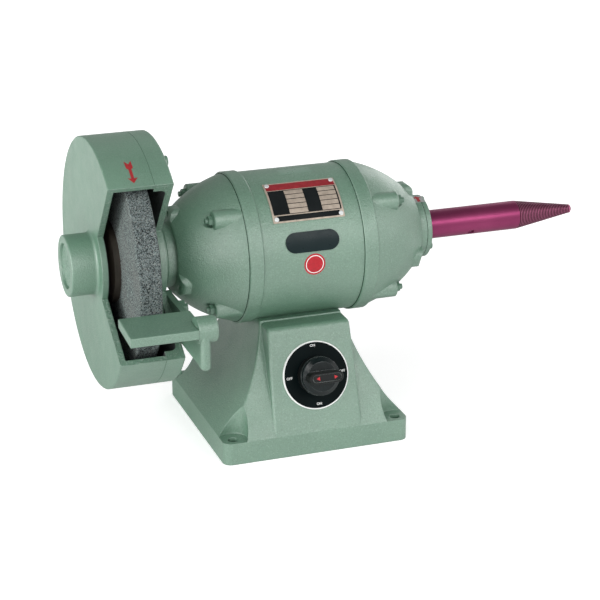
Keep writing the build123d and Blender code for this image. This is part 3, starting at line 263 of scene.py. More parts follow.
class Surface(Nodes):
    """A material with one principled shader."""

    def __init__(self, name, **values):
        self.material = bpy.data.materials.new(name)
        self.material.use_nodes = True
        super().__init__(self.material.node_tree)
        self.tree.nodes.clear()
        self.shader = self.add("ShaderNodeBsdfPrincipled")
        output = self.add("ShaderNodeOutputMaterial")
        self.tree.links.new(self.shader.outputs["BSDF"], output.inputs["Surface"])
        self.coords = self.add("ShaderNodeTexCoord").outputs["Object"]
        for key, value in values.items():
            self.shader.inputs[key.replace("_", " ")].default_value = value

    def feed(self, **inputs):
        """Links sockets into the shader."""
        for key, value in inputs.items():
            self.tree.links.new(value, self.shader.inputs[key.replace("_", " ")])

    def stretch(self, x, y, z):
        """Object coordinates with another scale along each axis."""
        return self.add("ShaderNodeMapping", Vector=self.coords, Scale=(x, y, z)).outputs["Vector"]

    def noise(self, scale, detail=2.0, roughness=0.5, vector=None):
        """Noise value with features of about 1 / scale metres."""
        node = self.add(
            "ShaderNodeTexNoise",
            Vector=vector or self.coords,
            Scale=scale,
            Detail=detail,
            Roughness=roughness,
        )
        return node.outputs["Fac"]

    def grit(self, scale, channel):
        """Random tone of grains that are about 1 / scale metres across."""
        cells = self.add("ShaderNodeTexVoronoi", Vector=self.coords, Scale=scale, Randomness=1.0)
        return self.add("ShaderNodeSeparateColor", Color=cells.outputs["Color"]).outputs[channel]

    def mix(self, factor, first, second):
        """Blend of two colours."""
        node = self.add("ShaderNodeMix", {"data_type": "RGBA"}, i0=factor, i6=first, i7=second)
        return node.outputs[2]

    def bump(self, height, distance, strength=1.0, normal=None):
        """Normal with a bump of that height in metres."""
        node = self.add("ShaderNodeBump", Height=height, Distance=distance, Strength=strength)
        if normal:
            self.tree.links.new(normal, node.inputs["Normal"])
        return node.outputs["Normal"]

    def axes(self):
        """The three object coordinates."""
        return self.split(self.coords)

    def radius(self):
        """Distance from the shaft line in metres."""
        y, z = self.axes()[1:]
        z = self.math("SUBTRACT", z, AXIS_Z * MM)
        return self.math("SQRT", self.math("ADD", self.math("MULTIPLY", y, y), self.math("MULTIPLY", z, z)))

    def wall_share(self, y, z, radius):
        """One where the surface faces along or away from the shaft, none where it faces round it."""
        normal_x, normal_y, normal_z = self.split(self.add("ShaderNodeNewGeometry").outputs["Normal"])
        z = self.math("SUBTRACT", z, AXIS_Z * MM)
        outward = self.math("ADD", self.math("MULTIPLY", normal_y, y), self.math("MULTIPLY", normal_z, z))
        outward = self.math("ABSOLUTE", self.math("DIVIDE", outward, radius))
        return self.spread(self.math("ADD", outward, self.math("ABSOLUTE", normal_x)), 0.3, 0.6)

    def soft_edges(self, radius):
        """Normal rounded over edges, and how much an edge turns there."""
        bevel = self.add("ShaderNodeBevel", {"samples": 6}, Radius=radius).outputs["Normal"]
        plain = self.add("ShaderNodeNewGeometry").outputs["Normal"]
        turn = self.add("ShaderNodeVectorMath", {"operation": "DOT_PRODUCT"}, i0=bevel, i1=plain)
        return bevel, self.spread(turn.outputs["Value"], 0.995, 0.8)


def rgb(red, green, blue):
    """Colour given as on a screen, from 0 to 255, turned into the linear values of a shader."""
    linear = [c / 255 / 12.92 if c <= 10 else ((c / 255 + 0.055) / 1.055) ** 2.4 for c in (red, green, blue)]
    return (*linear, 1.0)


# Materials
GREEN_LIGHT = rgb(93, 132, 109)
GREEN_DARK = rgb(85, 123, 101)
# Pale green for the grain's light specks and for the pale edges, which are partly wear and partly painted
# highlight.
GREEN_EDGE = rgb(118, 150, 131)
GREEN_PIT = rgb(62, 94, 76)
# Pale green of the painted glints on the guard mouth's cut faces.
GREEN_GLINT = rgb(190, 206, 197)
# Dark teal painted shade for the inside of the guard's drum, standing in for the deep shadow there.
SHADE_INSIDE_DARK, SHADE_INSIDE_LIGHT = rgb(3, 18, 19), rgb(9, 31, 31)
PAINT_GRAIN, GUARD_GRAIN = 1.9, 1.0


def guard_inside(s, x, radius):
    """One inside the guard's drum, none outside it."""
    inner = s.spread(radius, (GUARD_INSIDE_R + GUARD_INSIDE_BLEND) * MM, GUARD_INSIDE_R * MM)
    left = s.spread(x, (GUARD_INSIDE_LEFT - GUARD_INSIDE_BLEND) * MM, GUARD_INSIDE_LEFT * MM)
    right = s.spread(x, (GUARD_INSIDE_RIGHT + GUARD_INSIDE_BLEND) * MM, GUARD_INSIDE_RIGHT * MM)
    return s.math("MULTIPLY", s.math("MULTIPLY", inner, left), right)


def make_paint(name, guard=False):
    """Sprayed green enamel with orange peel, and pale edges that are partly wear and partly painted
    highlight; the guard has painted shade inside, and its mouth's cut faces have chips in the bump and pale
    painted glints.
    """
    s = Surface(name, Specular_IOR_Level=1.0, IOR=1.75)
    cloud = s.spread(s.noise(16, 4.0), 0.35, 0.65)
    colour = s.mix(cloud, GREEN_DARK, GREEN_LIGHT)
    grain = s.noise(750, 2.0, 0.7)
    grain_share = GUARD_GRAIN if guard else PAINT_GRAIN
    colour = s.mix(s.spread(grain, 0.55, 0.75, 0, 0.5 * grain_share), colour, GREEN_EDGE)
    colour = s.mix(s.spread(grain, 0.45, 0.25, 0, 0.35 * grain_share), colour, GREEN_PIT)
    bevel, edge = s.soft_edges(0.0012)
    # Pale edges: partly wear, partly painted highlight where the bevel turns the surface.
    wear_and_edge_highlight = s.math("MULTIPLY", edge, s.spread(s.noise(120, 3.0), 0.3, 0.7, 0.05, 0.35))
    colour = s.mix(wear_and_edge_highlight, colour, GREEN_EDGE)
    peel = s.math("ADD", s.noise(900, 1.0), s.math("MULTIPLY", s.noise(300, 1.0), 0.5))
    normal = s.bump(peel, 0.0006, 0.7, bevel)
    roughness = s.spread(s.noise(60, 3.0), 0.3, 0.7, 0.4, 0.5)
    if guard:
        x, y, z = s.axes()
        radius = s.radius()
        wall = s.wall_share(y, z, radius)
        # Painted shade: the guard's inside walls are coloured dark where the drum lies in deep shadow.
        painted_shade_inside = s.math("MULTIPLY", guard_inside(s, x, radius), wall)
        colour = s.mix(painted_shade_inside, colour, s.mix(s.noise(90, 4.0), SHADE_INSIDE_DARK, SHADE_INSIDE_LIGHT))
        roughness = s.math("ADD", roughness, s.math("MULTIPLY", painted_shade_inside, 0.3))
        mouth = s.math("SUBTRACT", 1.0, wall)
        chip_and_glint_noise = s.noise(520, 3.0)
        # Painted glints: pale specks on the mouth's cut faces stand in for highlights on their rough paint;
        # the same noise gives them chips in the bump.
        painted_glint_share = s.math("MULTIPLY", mouth, s.spread(chip_and_glint_noise, 0.55, 0.7, 0, 0.3))
        colour = s.mix(painted_glint_share, colour, GREEN_GLINT)
        normal = s.bump(s.math("MULTIPLY", chip_and_glint_noise, mouth), 0.0016, 0.8, normal)
    s.feed(Base_Color=colour, Roughness=roughness, Normal=normal)
    return s.material


def make_metal(name, light, dark, roughness, stretch, bump=0.00002, metallic=1.0):
    """Bare or plated metal with fine marks stretched along one direction."""
    s = Surface(name, Metallic=metallic)
    lines = s.noise(1.0, 3.0, 0.6, s.stretch(*stretch))
    stain = s.spread(s.noise(70, 3.0), 0.3, 0.7)
    colour = s.mix(s.math("MULTIPLY", s.math("ADD", lines, stain), 0.5), dark, light)
    rough = s.spread(lines, 0.3, 0.7, roughness * 0.75, roughness * 1.25)
    s.feed(Base_Color=colour, Roughness=rough, Normal=s.bump(lines, bump, 0.6))
    return s.material


def make_moulded(name, light, dark, roughness, grain=1500, bump=0.00003, gloss=0.5):
    """Moulded or painted plain surface with a fine grain and small changes of tone."""
    s = Surface(name, Specular_IOR_Level=gloss)
    fine = s.noise(grain, 2.0)
    cloud = s.spread(s.noise(45, 3.0), 0.3, 0.7)
    colour = s.mix(cloud, dark, light)
    rough = s.spread(s.noise(160, 3.0), 0.3, 0.7, roughness * 0.85, roughness * 1.15)
    s.feed(Base_Color=colour, Roughness=rough, Normal=s.bump(fine, bump, 0.5))
    return s.material


KNOB_DARK, KNOB_LIGHT = rgb(4, 14, 15), rgb(14, 26, 27)
# Pale grey painted highlight for the knob's edges.
KNOB_DULL, KNOB_EDGE_HIGHLIGHT = rgb(5, 9, 9), rgb(132, 140, 138)


def make_knob():
    """Moulded knob: satin on its cap, dull black on the foot and the grip, and a pale painted highlight along
    edges.
    """
    s = Surface("knob_black", Specular_IOR_Level=0.32)
    y, z = s.axes()[1:]
    y = s.math("MULTIPLY", s.math("SUBTRACT", y, DIAL_PLACE.y * MM), -math.cos(PANEL_LEAN))
    z = s.math("MULTIPLY", s.math("SUBTRACT", z, DIAL_PLACE.z * MM), math.sin(PANEL_LEAN))
    height = s.math("ADD", y, z)
    above_ledge = s.spread(height, (KNOB_LEDGE - 0.3) * MM, KNOB_LEDGE * MM)
    below_grip = s.spread(height, (CAP_TOP + 0.6) * MM, (CAP_TOP + 0.2) * MM)
    cap = s.math("MULTIPLY", above_ledge, below_grip)
    satin = s.mix(s.spread(s.noise(150, 4.0), 0.3, 0.7), KNOB_DARK, KNOB_LIGHT)
    colour = s.mix(cap, KNOB_DULL, satin)
    bevel, edge = s.soft_edges(0.0007)
    # Painted highlight: pale colour along the knob's edges stands in for the crescents of light on its
    # rounded shoulder.
    painted_edge_highlight = s.math("MULTIPLY", edge, s.spread(s.noise(220, 3.0), 0.35, 0.65, 0.15, 0.9))
    colour = s.mix(painted_edge_highlight, colour, KNOB_EDGE_HIGHLIGHT)
    dull = s.spread(s.noise(300, 3.0), 0.3, 0.7, 0.48, 0.58)
    rough = s.math("SUBTRACT", dull, s.math("MULTIPLY", cap, 0.34))
    s.feed(Base_Color=colour, Roughness=rough, Normal=s.bump(s.noise(1200, 2.0), 0.00003, 0.5, bevel))
    return s.material


TREAD_DARK, TREAD_LIGHT, TREAD_SPARK = rgb(26, 33, 34), rgb(118, 130, 129), rgb(170, 172, 166)
SIDE_DARK, SIDE_LIGHT, SIDE_STAIN = rgb(20, 28, 28), rgb(134, 148, 145), rgb(114, 111, 107)


def make_abrasive():
    """Vitrified grit: strong speckle on the tread, softer on the dressed sides."""
    s = Surface("abrasive_grit", Roughness=0.9)
    normal = s.add("ShaderNodeNewGeometry").outputs["Normal"]
    side = s.spread(s.math("ABSOLUTE", s.split(normal)[0]), 0.55, 0.8)
    coarse = s.grit(1350.0, 0)
    fine = s.grit(1500.0, 1)
    tread = s.mix(s.spread(coarse, 0.15, 0.9), TREAD_DARK, TREAD_LIGHT)
    tread = s.mix(s.spread(fine, 0.85, 0.97, 0, 0.5), tread, TREAD_SPARK)
    both = s.math("MULTIPLY", s.math("ADD", coarse, fine), 0.5)
    flat = s.mix(s.spread(both, 0.28, 0.74), SIDE_DARK, SIDE_LIGHT)
    flat = s.mix(s.spread(s.noise(35, 4.0), 0.35, 0.7, 0, 0.35), flat, SIDE_STAIN)
    bump = s.bump(s.math("ADD", coarse, fine), 0.0004, 0.6)
    s.feed(Base_Color=s.mix(side, tread, flat), Normal=bump)
    return s.material


PURPLE_DARK, PURPLE_LIGHT, PURPLE_LINE = rgb(132, 52, 90), rgb(148, 62, 102), rgb(184, 106, 140)
# Painted highlight for the taper's ridges and painted shade for its valleys.
RIDGE_HIGHLIGHT, VALLEY_SHADE_DARK, VALLEY_SHADE_LIGHT = rgb(180, 108, 136), rgb(26, 19, 22), rgb(42, 29, 34)
VALLEY_START, VALLEY_FULL = 0.12, 0.34


def make_anodised():
    """Purple anodised aluminium with fine turning lines; the taper is made paler as a painted highlight on
    its ridges, and darkened in the valleys between them as painted shade.
    """
    s = Surface("purple_anodised", Metallic=0.85)
    lines = s.noise(1.0, 2.0, 0.6, s.stretch(2600, 8, 8))
    stain = s.spread(s.noise(28, 4.0), 0.3, 0.7)
    colour = s.mix(stain, PURPLE_DARK, PURPLE_LIGHT)
    colour = s.mix(s.spread(lines, 0.6, 0.8, 0, 0.2), colour, PURPLE_LINE)
    x = s.axes()[0]
    slope = (SPINDLE_R - TAPER_TIP_R) / TAPER_LENGTH
    drop = s.math("MULTIPLY", s.math("SUBTRACT", x, TAPER_X * MM), slope)
    depth = s.math("SUBTRACT", s.math("SUBTRACT", SPINDLE_R * MM, drop), s.radius())
    # Painted shade: the taper is darker where the surface dips into the valleys between its ridges.
    valley_shade = s.spread(depth, VALLEY_START * MM, VALLEY_FULL * MM)
    valley_shade = s.math("MULTIPLY", valley_shade, s.spread(x, TAPER_X * MM, (TAPER_X + 0.5) * MM))
    # Painted highlight: the taper is made paler, so its ridges stand out bright.
    ridge_highlight = s.spread(x, TAPER_X * MM, (TAPER_X + 1.0) * MM, 0, 0.65)
    colour = s.mix(ridge_highlight, colour, RIDGE_HIGHLIGHT)
    colour = s.mix(valley_shade, colour, s.mix(stain, VALLEY_SHADE_DARK, VALLEY_SHADE_LIGHT))
    rough = s.math("ADD", s.spread(lines, 0.3, 0.7, 0.33, 0.42), s.math("MULTIPLY", valley_shade, 0.3))
    bevel = s.soft_edges(0.0004)[0]
    s.feed(Base_Color=colour, Roughness=rough, Normal=s.bump(lines, 0.00001, 0.5, bevel))
    return s.material


def make_plate_print(name, light, dark, roughness, metallic=0.0):
    """Printed ink or foil on a plate, slightly mottled and scuffed."""
    s = Surface(name, Metallic=metallic)
    cloud = s.spread(s.noise(240, 4.0), 0.3, 0.7)
    scuff = s.spread(s.noise(1.0, 3.0, 0.6, s.stretch(150, 1900, 1900)), 0.66, 0.8, 0, 0.35)
    colour = s.mix(scuff, s.mix(cloud, dark, light), light)
    rough = s.spread(cloud, 0, 1, roughness * 0.8, roughness * 1.2)
    s.feed(Base_Color=colour, Roughness=rough, Normal=s.bump(s.noise(2400, 1.0), 0.00002, 0.4))
    return s.material


paint = make_paint("green_paint")
guard_paint = make_paint("guard_green_paint", guard=True)
slots = {
    "green_paint": paint,
    "painted_fasteners": make_moulded(
        "painted_fasteners", rgb(92, 128, 107), rgb(74, 106, 88), 0.4, 700, 0.00008, 0.9
    ),
    "zinc_steel": make_metal("zinc_steel", rgb(205, 207, 208), rgb(158, 160, 162), 0.32, (60, 60, 900)),
    "bearing_steel": make_metal("bearing_steel", rgb(214, 216, 219), rgb(182, 184, 188), 0.16, (900, 60, 60)),
    "bearing_cage": make_metal("bearing_cage", rgb(204, 172, 104), rgb(170, 136, 74), 0.34, (300, 300, 60)),
    "shaft_steel": make_metal("shaft_steel", rgb(188, 188, 188), rgb(140, 141, 143), 0.3, (1500, 20, 20)),
    "flange_brown": make_metal(
        "flange_brown", rgb(72, 66, 58), rgb(48, 44, 39), 0.4, (1200, 40, 40), metallic=0.4
    ),
    "lamination": make_metal(
        "lamination", rgb(150, 151, 154), rgb(104, 105, 108), 0.4, (2200, 6, 6), bump=0.00008
    ),
    "copper": make_metal(
        "copper_winding", rgb(186, 112, 72), rgb(132, 66, 38), 0.36, (12, 900, 900), bump=0.0001
    ),
    "cast_aluminium": make_metal(
        "cast_aluminium", rgb(214, 215, 216), rgb(176, 178, 180), 0.42, (260, 260, 260)
    ),
    "dial_black": make_moulded("dial_black", rgb(7, 18, 19), rgb(4, 12, 13), 0.4, 1800, gloss=0.06),
    "knob_black": make_knob(),
    "moulded_black": make_moulded("moulded_black", rgb(44, 44, 46), rgb(30, 30, 32), 0.5, 900),
    "switch_steel": make_metal("switch_steel", rgb(196, 196, 198), rgb(150, 151, 153), 0.3, (40, 40, 800)),
    "lead_sleeve": make_moulded("lead_sleeve", rgb(46, 46, 48), rgb(32, 32, 33), 0.7, 1300),
    "abrasive": make_abrasive(),
    "bush_plastic": make_moulded("bush_plastic", rgb(206, 204, 196), rgb(184, 182, 172), 0.5),
    "blotter_card": make_moulded("blotter_card", rgb(64, 54, 46), rgb(46, 40, 35), 0.85, 700, 0.00006),
    "purple_anodised": make_anodised(),
    "plate_aluminium": make_plate_print(
        "plate_aluminium", rgb(198, 184, 168), rgb(172, 158, 144), 0.38, 0.35
    ),
    "badge_black": make_moulded("badge_black", rgb(27, 40, 42), rgb(23, 35, 37), 0.3, 1500, gloss=0.12),
}
print_red = make_plate_print("print_red", rgb(150, 36, 44), rgb(126, 26, 34), 0.4)
print_black = make_moulded("print_black", rgb(26, 30, 31), rgb(17, 21, 22), 0.4, gloss=0.12)
print_white = make_plate_print("print_white", rgb(246, 247, 245), rgb(234, 236, 234), 0.45)
label_red = make_plate_print("label_red", rgb(206, 30, 40), rgb(186, 24, 34), 0.4)
seal_red = make_plate_print("seal_red", rgb(186, 20, 38), rgb(168, 16, 32), 0.4)
seam_dark = make_moulded("seam_dark", rgb(48, 70, 58), rgb(34, 52, 43), 0.8, 900, gloss=0.1)
seam_soft = make_moulded("seam_soft", rgb(78, 110, 92), rgb(64, 92, 77), 0.6, 900, gloss=0.3)
arrow_red = make_plate_print("arrow_red", rgb(166, 42, 46), rgb(142, 30, 36), 0.45)
label_grey = make_plate_print("label_grey", rgb(168, 172, 170), rgb(146, 150, 148), 0.45)
film = make_moulded("clear_film", rgb(120, 150, 133), rgb(110, 142, 124), 0.3)
rivet = make_metal(
    "rivet_aluminium", rgb(232, 235, 235), rgb(206, 210, 210), 0.45, (900, 900, 900), metallic=0.5
)
own_materials = {"guard_back": guard_paint, "guard_cover": guard_paint, "plate_rivets": rivet}

for row in frame["record"]["subparts"]:
    node_materials = frame["nodes"][row["node"]].data.materials
    node_materials.clear()
    node_materials.append(own_materials.get(row["node"], slots[row["material_slot"]]))

# Grinding wheel with a grainy surface
rng = np.random.default_rng(SEED)
WHEEL_LEFT, WHEEL_RIGHT = -164.5, -144.5
WHEEL_MIDDLE = (WHEEL_LEFT + WHEEL_RIGHT) / 2
WHEEL_R, WHEEL_BORE_R, WHEEL_EDGE = 100.0, 15.9, 1.2
WHEEL_SMOOTH_R, WHEEL_SMOOTH_GAP = 40.0, 2.0
WHEEL_STEPS, SMOOTH_RINGS, SIDE_RINGS, TREAD_RINGS = 720, 5, 48, 20
SIDE_GRAIN, TREAD_GRAIN, TREAD_INSET = 0.05, 0.22, 0.25


def make_wheel():
    """The wheel as rings from one bore edge to the other, smooth under the flanges and rough elsewhere."""
    side_radii = list(np.linspace(WHEEL_BORE_R, WHEEL_SMOOTH_R - WHEEL_SMOOTH_GAP, SMOOTH_RINGS))
    side_radii += list(np.linspace(WHEEL_SMOOTH_R, WHEEL_R - WHEEL_EDGE, SIDE_RINGS))
    tread_x = np.linspace(WHEEL_LEFT + WHEEL_EDGE, WHEEL_RIGHT - WHEEL_EDGE, TREAD_RINGS)
    rings = [(WHEEL_LEFT, r, SIDE_GRAIN) for r in side_radii]
    rings += [(x, WHEEL_R - TREAD_INSET, TREAD_GRAIN) for x in tread_x]
    rings += [(WHEEL_RIGHT, r, SIDE_GRAIN) for r in reversed(side_radii)]
    turns = np.linspace(0, 2 * math.pi, WHEEL_STEPS, endpoint=False)
    verts = []
    for x, r, grain in rings:
        rough = rng.normal(0, grain, (2, WHEEL_STEPS)).clip(-2 * grain, grain)
        if r <= WHEEL_SMOOTH_R:
            rough = 0 * rough
        radii = r + rough[0]
        places = x + np.sign(WHEEL_MIDDLE - x) * 0.5 * rough[1]
        for turn, radius, place_x in zip(turns, radii, places):
            verts.append((place_x, -radius * math.cos(turn), AXIS_Z + radius * math.sin(turn)))
    return bmesh_from(verts, grid_faces(len(rings), WHEEL_STEPS, True, True))


wheel = add_piece("grit_wheel", make_wheel(), slots["abrasive"], "rotor", 80.0)
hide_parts("grinding_wheel")

# Dial rim and lettering, with each word's place on the dial
RIM_PROFILE = [
    (2.02, 29.9), (2.25, 29.95), (2.28, 30.7), (2.1, 30.95),
    (1.6, 31.1), (0.1, 31.1), (0.1, 30.7), (1.5, 30.5),
]
LETTER_SIZE, LETTER_DEPTH = 3.2, 0.12
LETTERS = [("ON", -0.6, 26.9), ("ON", 0.6, -26.2), ("OFF", -25.2, -0.3), ("OFF", 25.2, 0.6)]


def dial_word(text, right, up):
    """One raised word on the dial."""
    return words(text, LETTER_SIZE, LETTER_DEPTH, lambda u, v, w: on_dial(u + right, v + up, w + DIAL_TOP))


add_piece("dial_rim", turned(RIM_PROFILE, 128, on_dial), print_white, "frame")
lettering = merge([dial_word(*letter) for letter in LETTERS])
add_piece("dial_lettering", lettering, print_white, "frame")

# Knob ledge, inlay and pointers
LEDGE_PROFILE = [(-0.5, 17.2), (-0.4, 17.8), (0.0, 18.0), (0.5, 17.9), (0.9, 17.5), (0.8, 17.2)]
INLAY_OUTSIDE, INLAY_INSIDE = (27.4, 7.2), (26.2, 6.0)
POINTER_BACK, POINTER_TIP, POINTER_HALF = 6.9, 10.0, 1.7
ledge = turned([(KNOB_LEDGE + height, radius) for height, radius in LEDGE_PROFILE], 96, on_dial)
add_piece("knob_ledge", ledge, slots["knob_black"], "switch_knob")
inlay = plate([pill(*INLAY_OUTSIDE), pill(*INLAY_INSIDE)], GRIP_TOP - 0.05, GRIP_TOP + 0.3, on_dial)
add_piece("knob_inlay", inlay, slots["knob_black"], "switch_knob")
pointers = []
for side in (-1, 1):
    back, tip = side * POINTER_BACK, side * POINTER_TIP
    pointer = [(back, POINTER_HALF), (back, -POINTER_HALF), (tip, 0)]
    pointers.append(plate([pointer], GRIP_TOP - 0.02, GRIP_TOP + 0.12, on_dial))
add_piece("knob_pointers", merge(pointers), label_red, "switch_knob")

# Rating plate print, in shares of the plate's width and height
PLATE_TOP_R = SHELL_R + 0.83
PLATE_X, PLATE_W = 2.9, 66.8
PLATE_LOW, PLATE_HIGH = 33.5, 69.2
PLATE_V = math.radians(PLATE_HIGH - PLATE_LOW) * PLATE_TOP_R
INK_LOW, HEADER_HIGH, TABLE_HIGH = 0.01, 0.06, 0.09
HEADER = (0.02, 0.98, 0.785, 0.97)
TABLE_ROWS = [0.18, 0.296, 0.412, 0.528, 0.644, 0.76]
ROW_LINE = 0.007
DARK_COLUMNS = [(0.025, 0.25), (0.51, 0.71)]
RIGHT_LINE, FOOTER = (0.958, 0.976, 0.174, 0.766), (0.06, 0.94, 0.035, 0.15)
on_plate = on_drum(PLATE_TOP_R, PLATE_X - PLATE_W / 2, PLATE_LOW)


def printed(areas, high):
    """Thin ink areas on the rating plate, given as shares of its width and height."""
    parts = []
    for u0, u1, v0, v1 in areas:
        outline = rectangle(u0 * PLATE_W, u1 * PLATE_W, v0 * PLATE_V, v1 * PLATE_V)
        parts.append(plate([outline], INK_LOW, high, on_plate, 1.5))
    return merge(parts)


add_piece("plate_header", printed([HEADER], HEADER_HIGH), print_red, "frame")
black = [(u0, u1, TABLE_ROWS[0], TABLE_ROWS[-1]) for u0, u1 in DARK_COLUMNS]
black += [(0.025, 0.97, v - ROW_LINE, v + ROW_LINE) for v in TABLE_ROWS]
black += [RIGHT_LINE, FOOTER]
add_piece("plate_table", printed(black, TABLE_HIGH), print_black, "frame")

# Plain round label and clear film strip
LABEL_R, LABEL_RING_R, LABEL_RING_INSIDE_R = 9.9, 8.4, 7.7
LABEL_HIGH, LABEL_RING_HIGH, FILM_HIGH = 0.14, 0.18, 0.06
FILM_X, FILM_ANGLE, FILM_HALF_U, FILM_HALF_V = 7.0, 86.8, 14.8, 6.6
SHELL_CUT = 1.2
on_shell = on_drum(SHELL_R, PLATE_X + 1.2, -0.4)
round_label = plate([circle(LABEL_R)], INK_LOW, LABEL_HIGH, on_shell, SHELL_CUT)
add_piece("round_label", round_label, seal_red, "frame")
ring_loops = [circle(LABEL_RING_R), circle(LABEL_RING_INSIDE_R)]
label_ring = plate(ring_loops, LABEL_HIGH, LABEL_RING_HIGH, on_shell, SHELL_CUT)
add_piece("label_ring", label_ring, print_white, "frame")
film_outline = rectangle(-FILM_HALF_U, FILM_HALF_U, -FILM_HALF_V, FILM_HALF_V)
film_strip = plate([film_outline], INK_LOW, FILM_HIGH, on_drum(SHELL_R, FILM_X, FILM_ANGLE), SHELL_CUT)
add_piece("film_strip", film_strip, film, "frame")

# Turning arrow on the guard, whose points lie at angles about the shaft
ARROW_X, ARROW_ANGLE, ARROW_HIGH = -158.0, 60.0, 0.1
ARROW_POINTS = (67.0, 65.0, 62.5, 56.4, 53.8)
TAIL_HALF, STEM_HALF, HEAD_HALF = 3.0, 1.3, 4.4
tail_v, notch_v, feather_v, head_v, tip_v = [math.radians(a - ARROW_ANGLE) * GUARD_R for a in ARROW_POINTS]
stem_v, barb_v = feather_v - 1.2, head_v + 0.8
arrow = [
    (-TAIL_HALF, tail_v), (0.0, notch_v), (TAIL_HALF, tail_v), (TAIL_HALF, feather_v),
    (STEM_HALF, stem_v), (STEM_HALF, head_v), (HEAD_HALF, barb_v), (0.0, tip_v),
    (-HEAD_HALF, barb_v), (-STEM_HALF, head_v), (-STEM_HALF, stem_v), (-TAIL_HALF, feather_v),
]
guard_arrow = plate([arrow], INK_LOW, ARROW_HIGH, on_drum(GUARD_R, ARROW_X, ARROW_ANGLE), 1.5)
add_piece("guard_arrow", guard_arrow, arrow_red, "frame")

# Label with an arrow on the neck
NECK_LABEL_X, NECK_LABEL_ANGLE, NECK_CUT = 127.0, 78.0, 0.8
NECK_LABEL_HIGH, NECK_ARROW_HIGH = 0.12, 0.2
NECK_ARROW = [(-1.5, -5.0), (1.5, -5.0), (1.5, 0.4), (4.0, 0.4), (0, 5.4), (-4.0, 0.4), (-1.5, 0.4)]
on_neck = on_drum(NECK_R, NECK_LABEL_X, NECK_LABEL_ANGLE)
neck_label = plate([rectangle(-5.5, 5.5, -6.1, 6.1)], INK_LOW, NECK_LABEL_HIGH, on_neck, NECK_CUT)
add_piece("neck_label", neck_label, label_grey, "frame")
neck_arrow = plate([NECK_ARROW], NECK_LABEL_HIGH, NECK_ARROW_HIGH, on_neck, NECK_CUT)
add_piece("neck_arrow", neck_arrow, arrow_red, "frame")

# Dark lines in the seams between castings, as profiles of place along the shaft and radius
SEAMS = [
    [(-56.7, 67.0), (-56.6, 67.4), (-56.25, 67.9), (-56.25, 67.0)],
    [(51.4, 67.4), (51.45, 67.65), (51.85, 68.1), (51.85, 67.4)],
    [(128.35, 28.7), (128.4, 28.95), (128.95, 28.92), (129.0, 28.7)],
]
GUARD_SEAM_HALF, GUARD_SEAM_LOW, GUARD_SEAM_HIGH = 0.2, -0.05, 0.03
seam_rings = [turned(profile, 180, on_shaft) for profile in SEAMS]
add_piece("casting_seams", merge(seam_rings), seam_dark, "frame")
guard_line = rectangle(-GUARD_SEAM_HALF, GUARD_SEAM_HALF, 0.0, math.radians(MOUTH_OPEN) * GUARD_R)
on_guard = on_drum(GUARD_R, GUARD_SEAM_X, MOUTH_TOP)
guard_seam = plate([guard_line], GUARD_SEAM_LOW, GUARD_SEAM_HIGH, on_guard, 3.0)
add_piece("guard_seam", guard_seam, seam_soft, "frame")

# Rough cast floor in the hub's recess
RECESS_X, RECESS_R = -203.1, 19.7
RECESS_RINGS, RECESS_STEPS = 40, 160
LUMPS, LUMP_R, LUMP_LOW, LUMP_HIGH = 760, 0.8, -0.5, 0.6
FLOOR_RISE, FLOOR_LEAST, FLOOR_MOST, FLOOR_MIDDLE = 0.7, 0.05, 2.4, 0.6


def make_cast_floor():
    """A closed disc with a lumpy outer face."""
    lump_r = RECESS_R * np.sqrt(rng.random(LUMPS))
    lump_turn = 2 * math.pi * rng.random(LUMPS)
    lump_rise = rng.uniform(LUMP_LOW, LUMP_HIGH, LUMPS)
    lump_y, lump_z = lump_r * np.cos(lump_turn), lump_r * np.sin(lump_turn)
    verts = []
    for i in range(RECESS_RINGS):
        ring_r = RECESS_R * (i + 1) / RECESS_RINGS
        for j in range(RECESS_STEPS):
            turn = 2 * math.pi * j / RECESS_STEPS
            y, z = ring_r * math.cos(turn), ring_r * math.sin(turn)
            near = np.exp(-((y - lump_y) ** 2 + (z - lump_z) ** 2) / LUMP_R**2)
            rise = max(FLOOR_LEAST, FLOOR_RISE + float(near @ lump_rise))
            if i == RECESS_RINGS - 1:
                rise = FLOOR_LEAST
            verts.append((RECESS_X - min(rise, FLOOR_MOST), y, AXIS_Z + z))
    bm = bmesh_from(verts, grid_faces(RECESS_RINGS, RECESS_STEPS, False, True))
    middle = bm.verts.new((RECESS_X - FLOOR_MIDDLE, 0, AXIS_Z))
    bm.verts.ensure_lookup_table()
    for j in range(RECESS_STEPS):
        bm.faces.new((middle, bm.verts[j], bm.verts[(j + 1) % RECESS_STEPS]))
    bm.faces.new([bm.verts[(RECESS_RINGS - 1) * RECESS_STEPS + j] for j in range(RECESS_STEPS)])
    return bm


add_piece("hub_cast_floor", make_cast_floor(), paint, "frame", 80.0)

# Camera of the photograph
SENSOR, LENS = 36.0, 118.784
CAMERA_PLACE, CAMERA_TARGET = (-556.30, -1619.99, 765.67), (13.87, 0.0, 114.32)
camera_data = bpy.data.cameras.new("photo_camera")
camera_data.sensor_width = SENSOR
camera_data.lens = LENS
camera = bpy.data.objects.new("photo_camera", camera_data)
bpy.context.scene.collection.objects.link(camera)
camera.location = Vector(CAMERA_PLACE) * MM
camera.rotation_mode = "QUATERNION"
camera.rotation_quaternion = (Vector(CAMERA_TARGET) * MM - camera.location).to_track_quat("-Z", "Y")
bpy.context.scene.camera = camera

# Floor, with distances in metres from the origin
FLOOR_HALF, FLOOR_DROP, FLOOR_GREY = 30, 0.0002, 0.85
GLOW_NEAR, GLOW_FAR = 0.35, 1.6
SMOOTH = "SMOOTHSTEP"


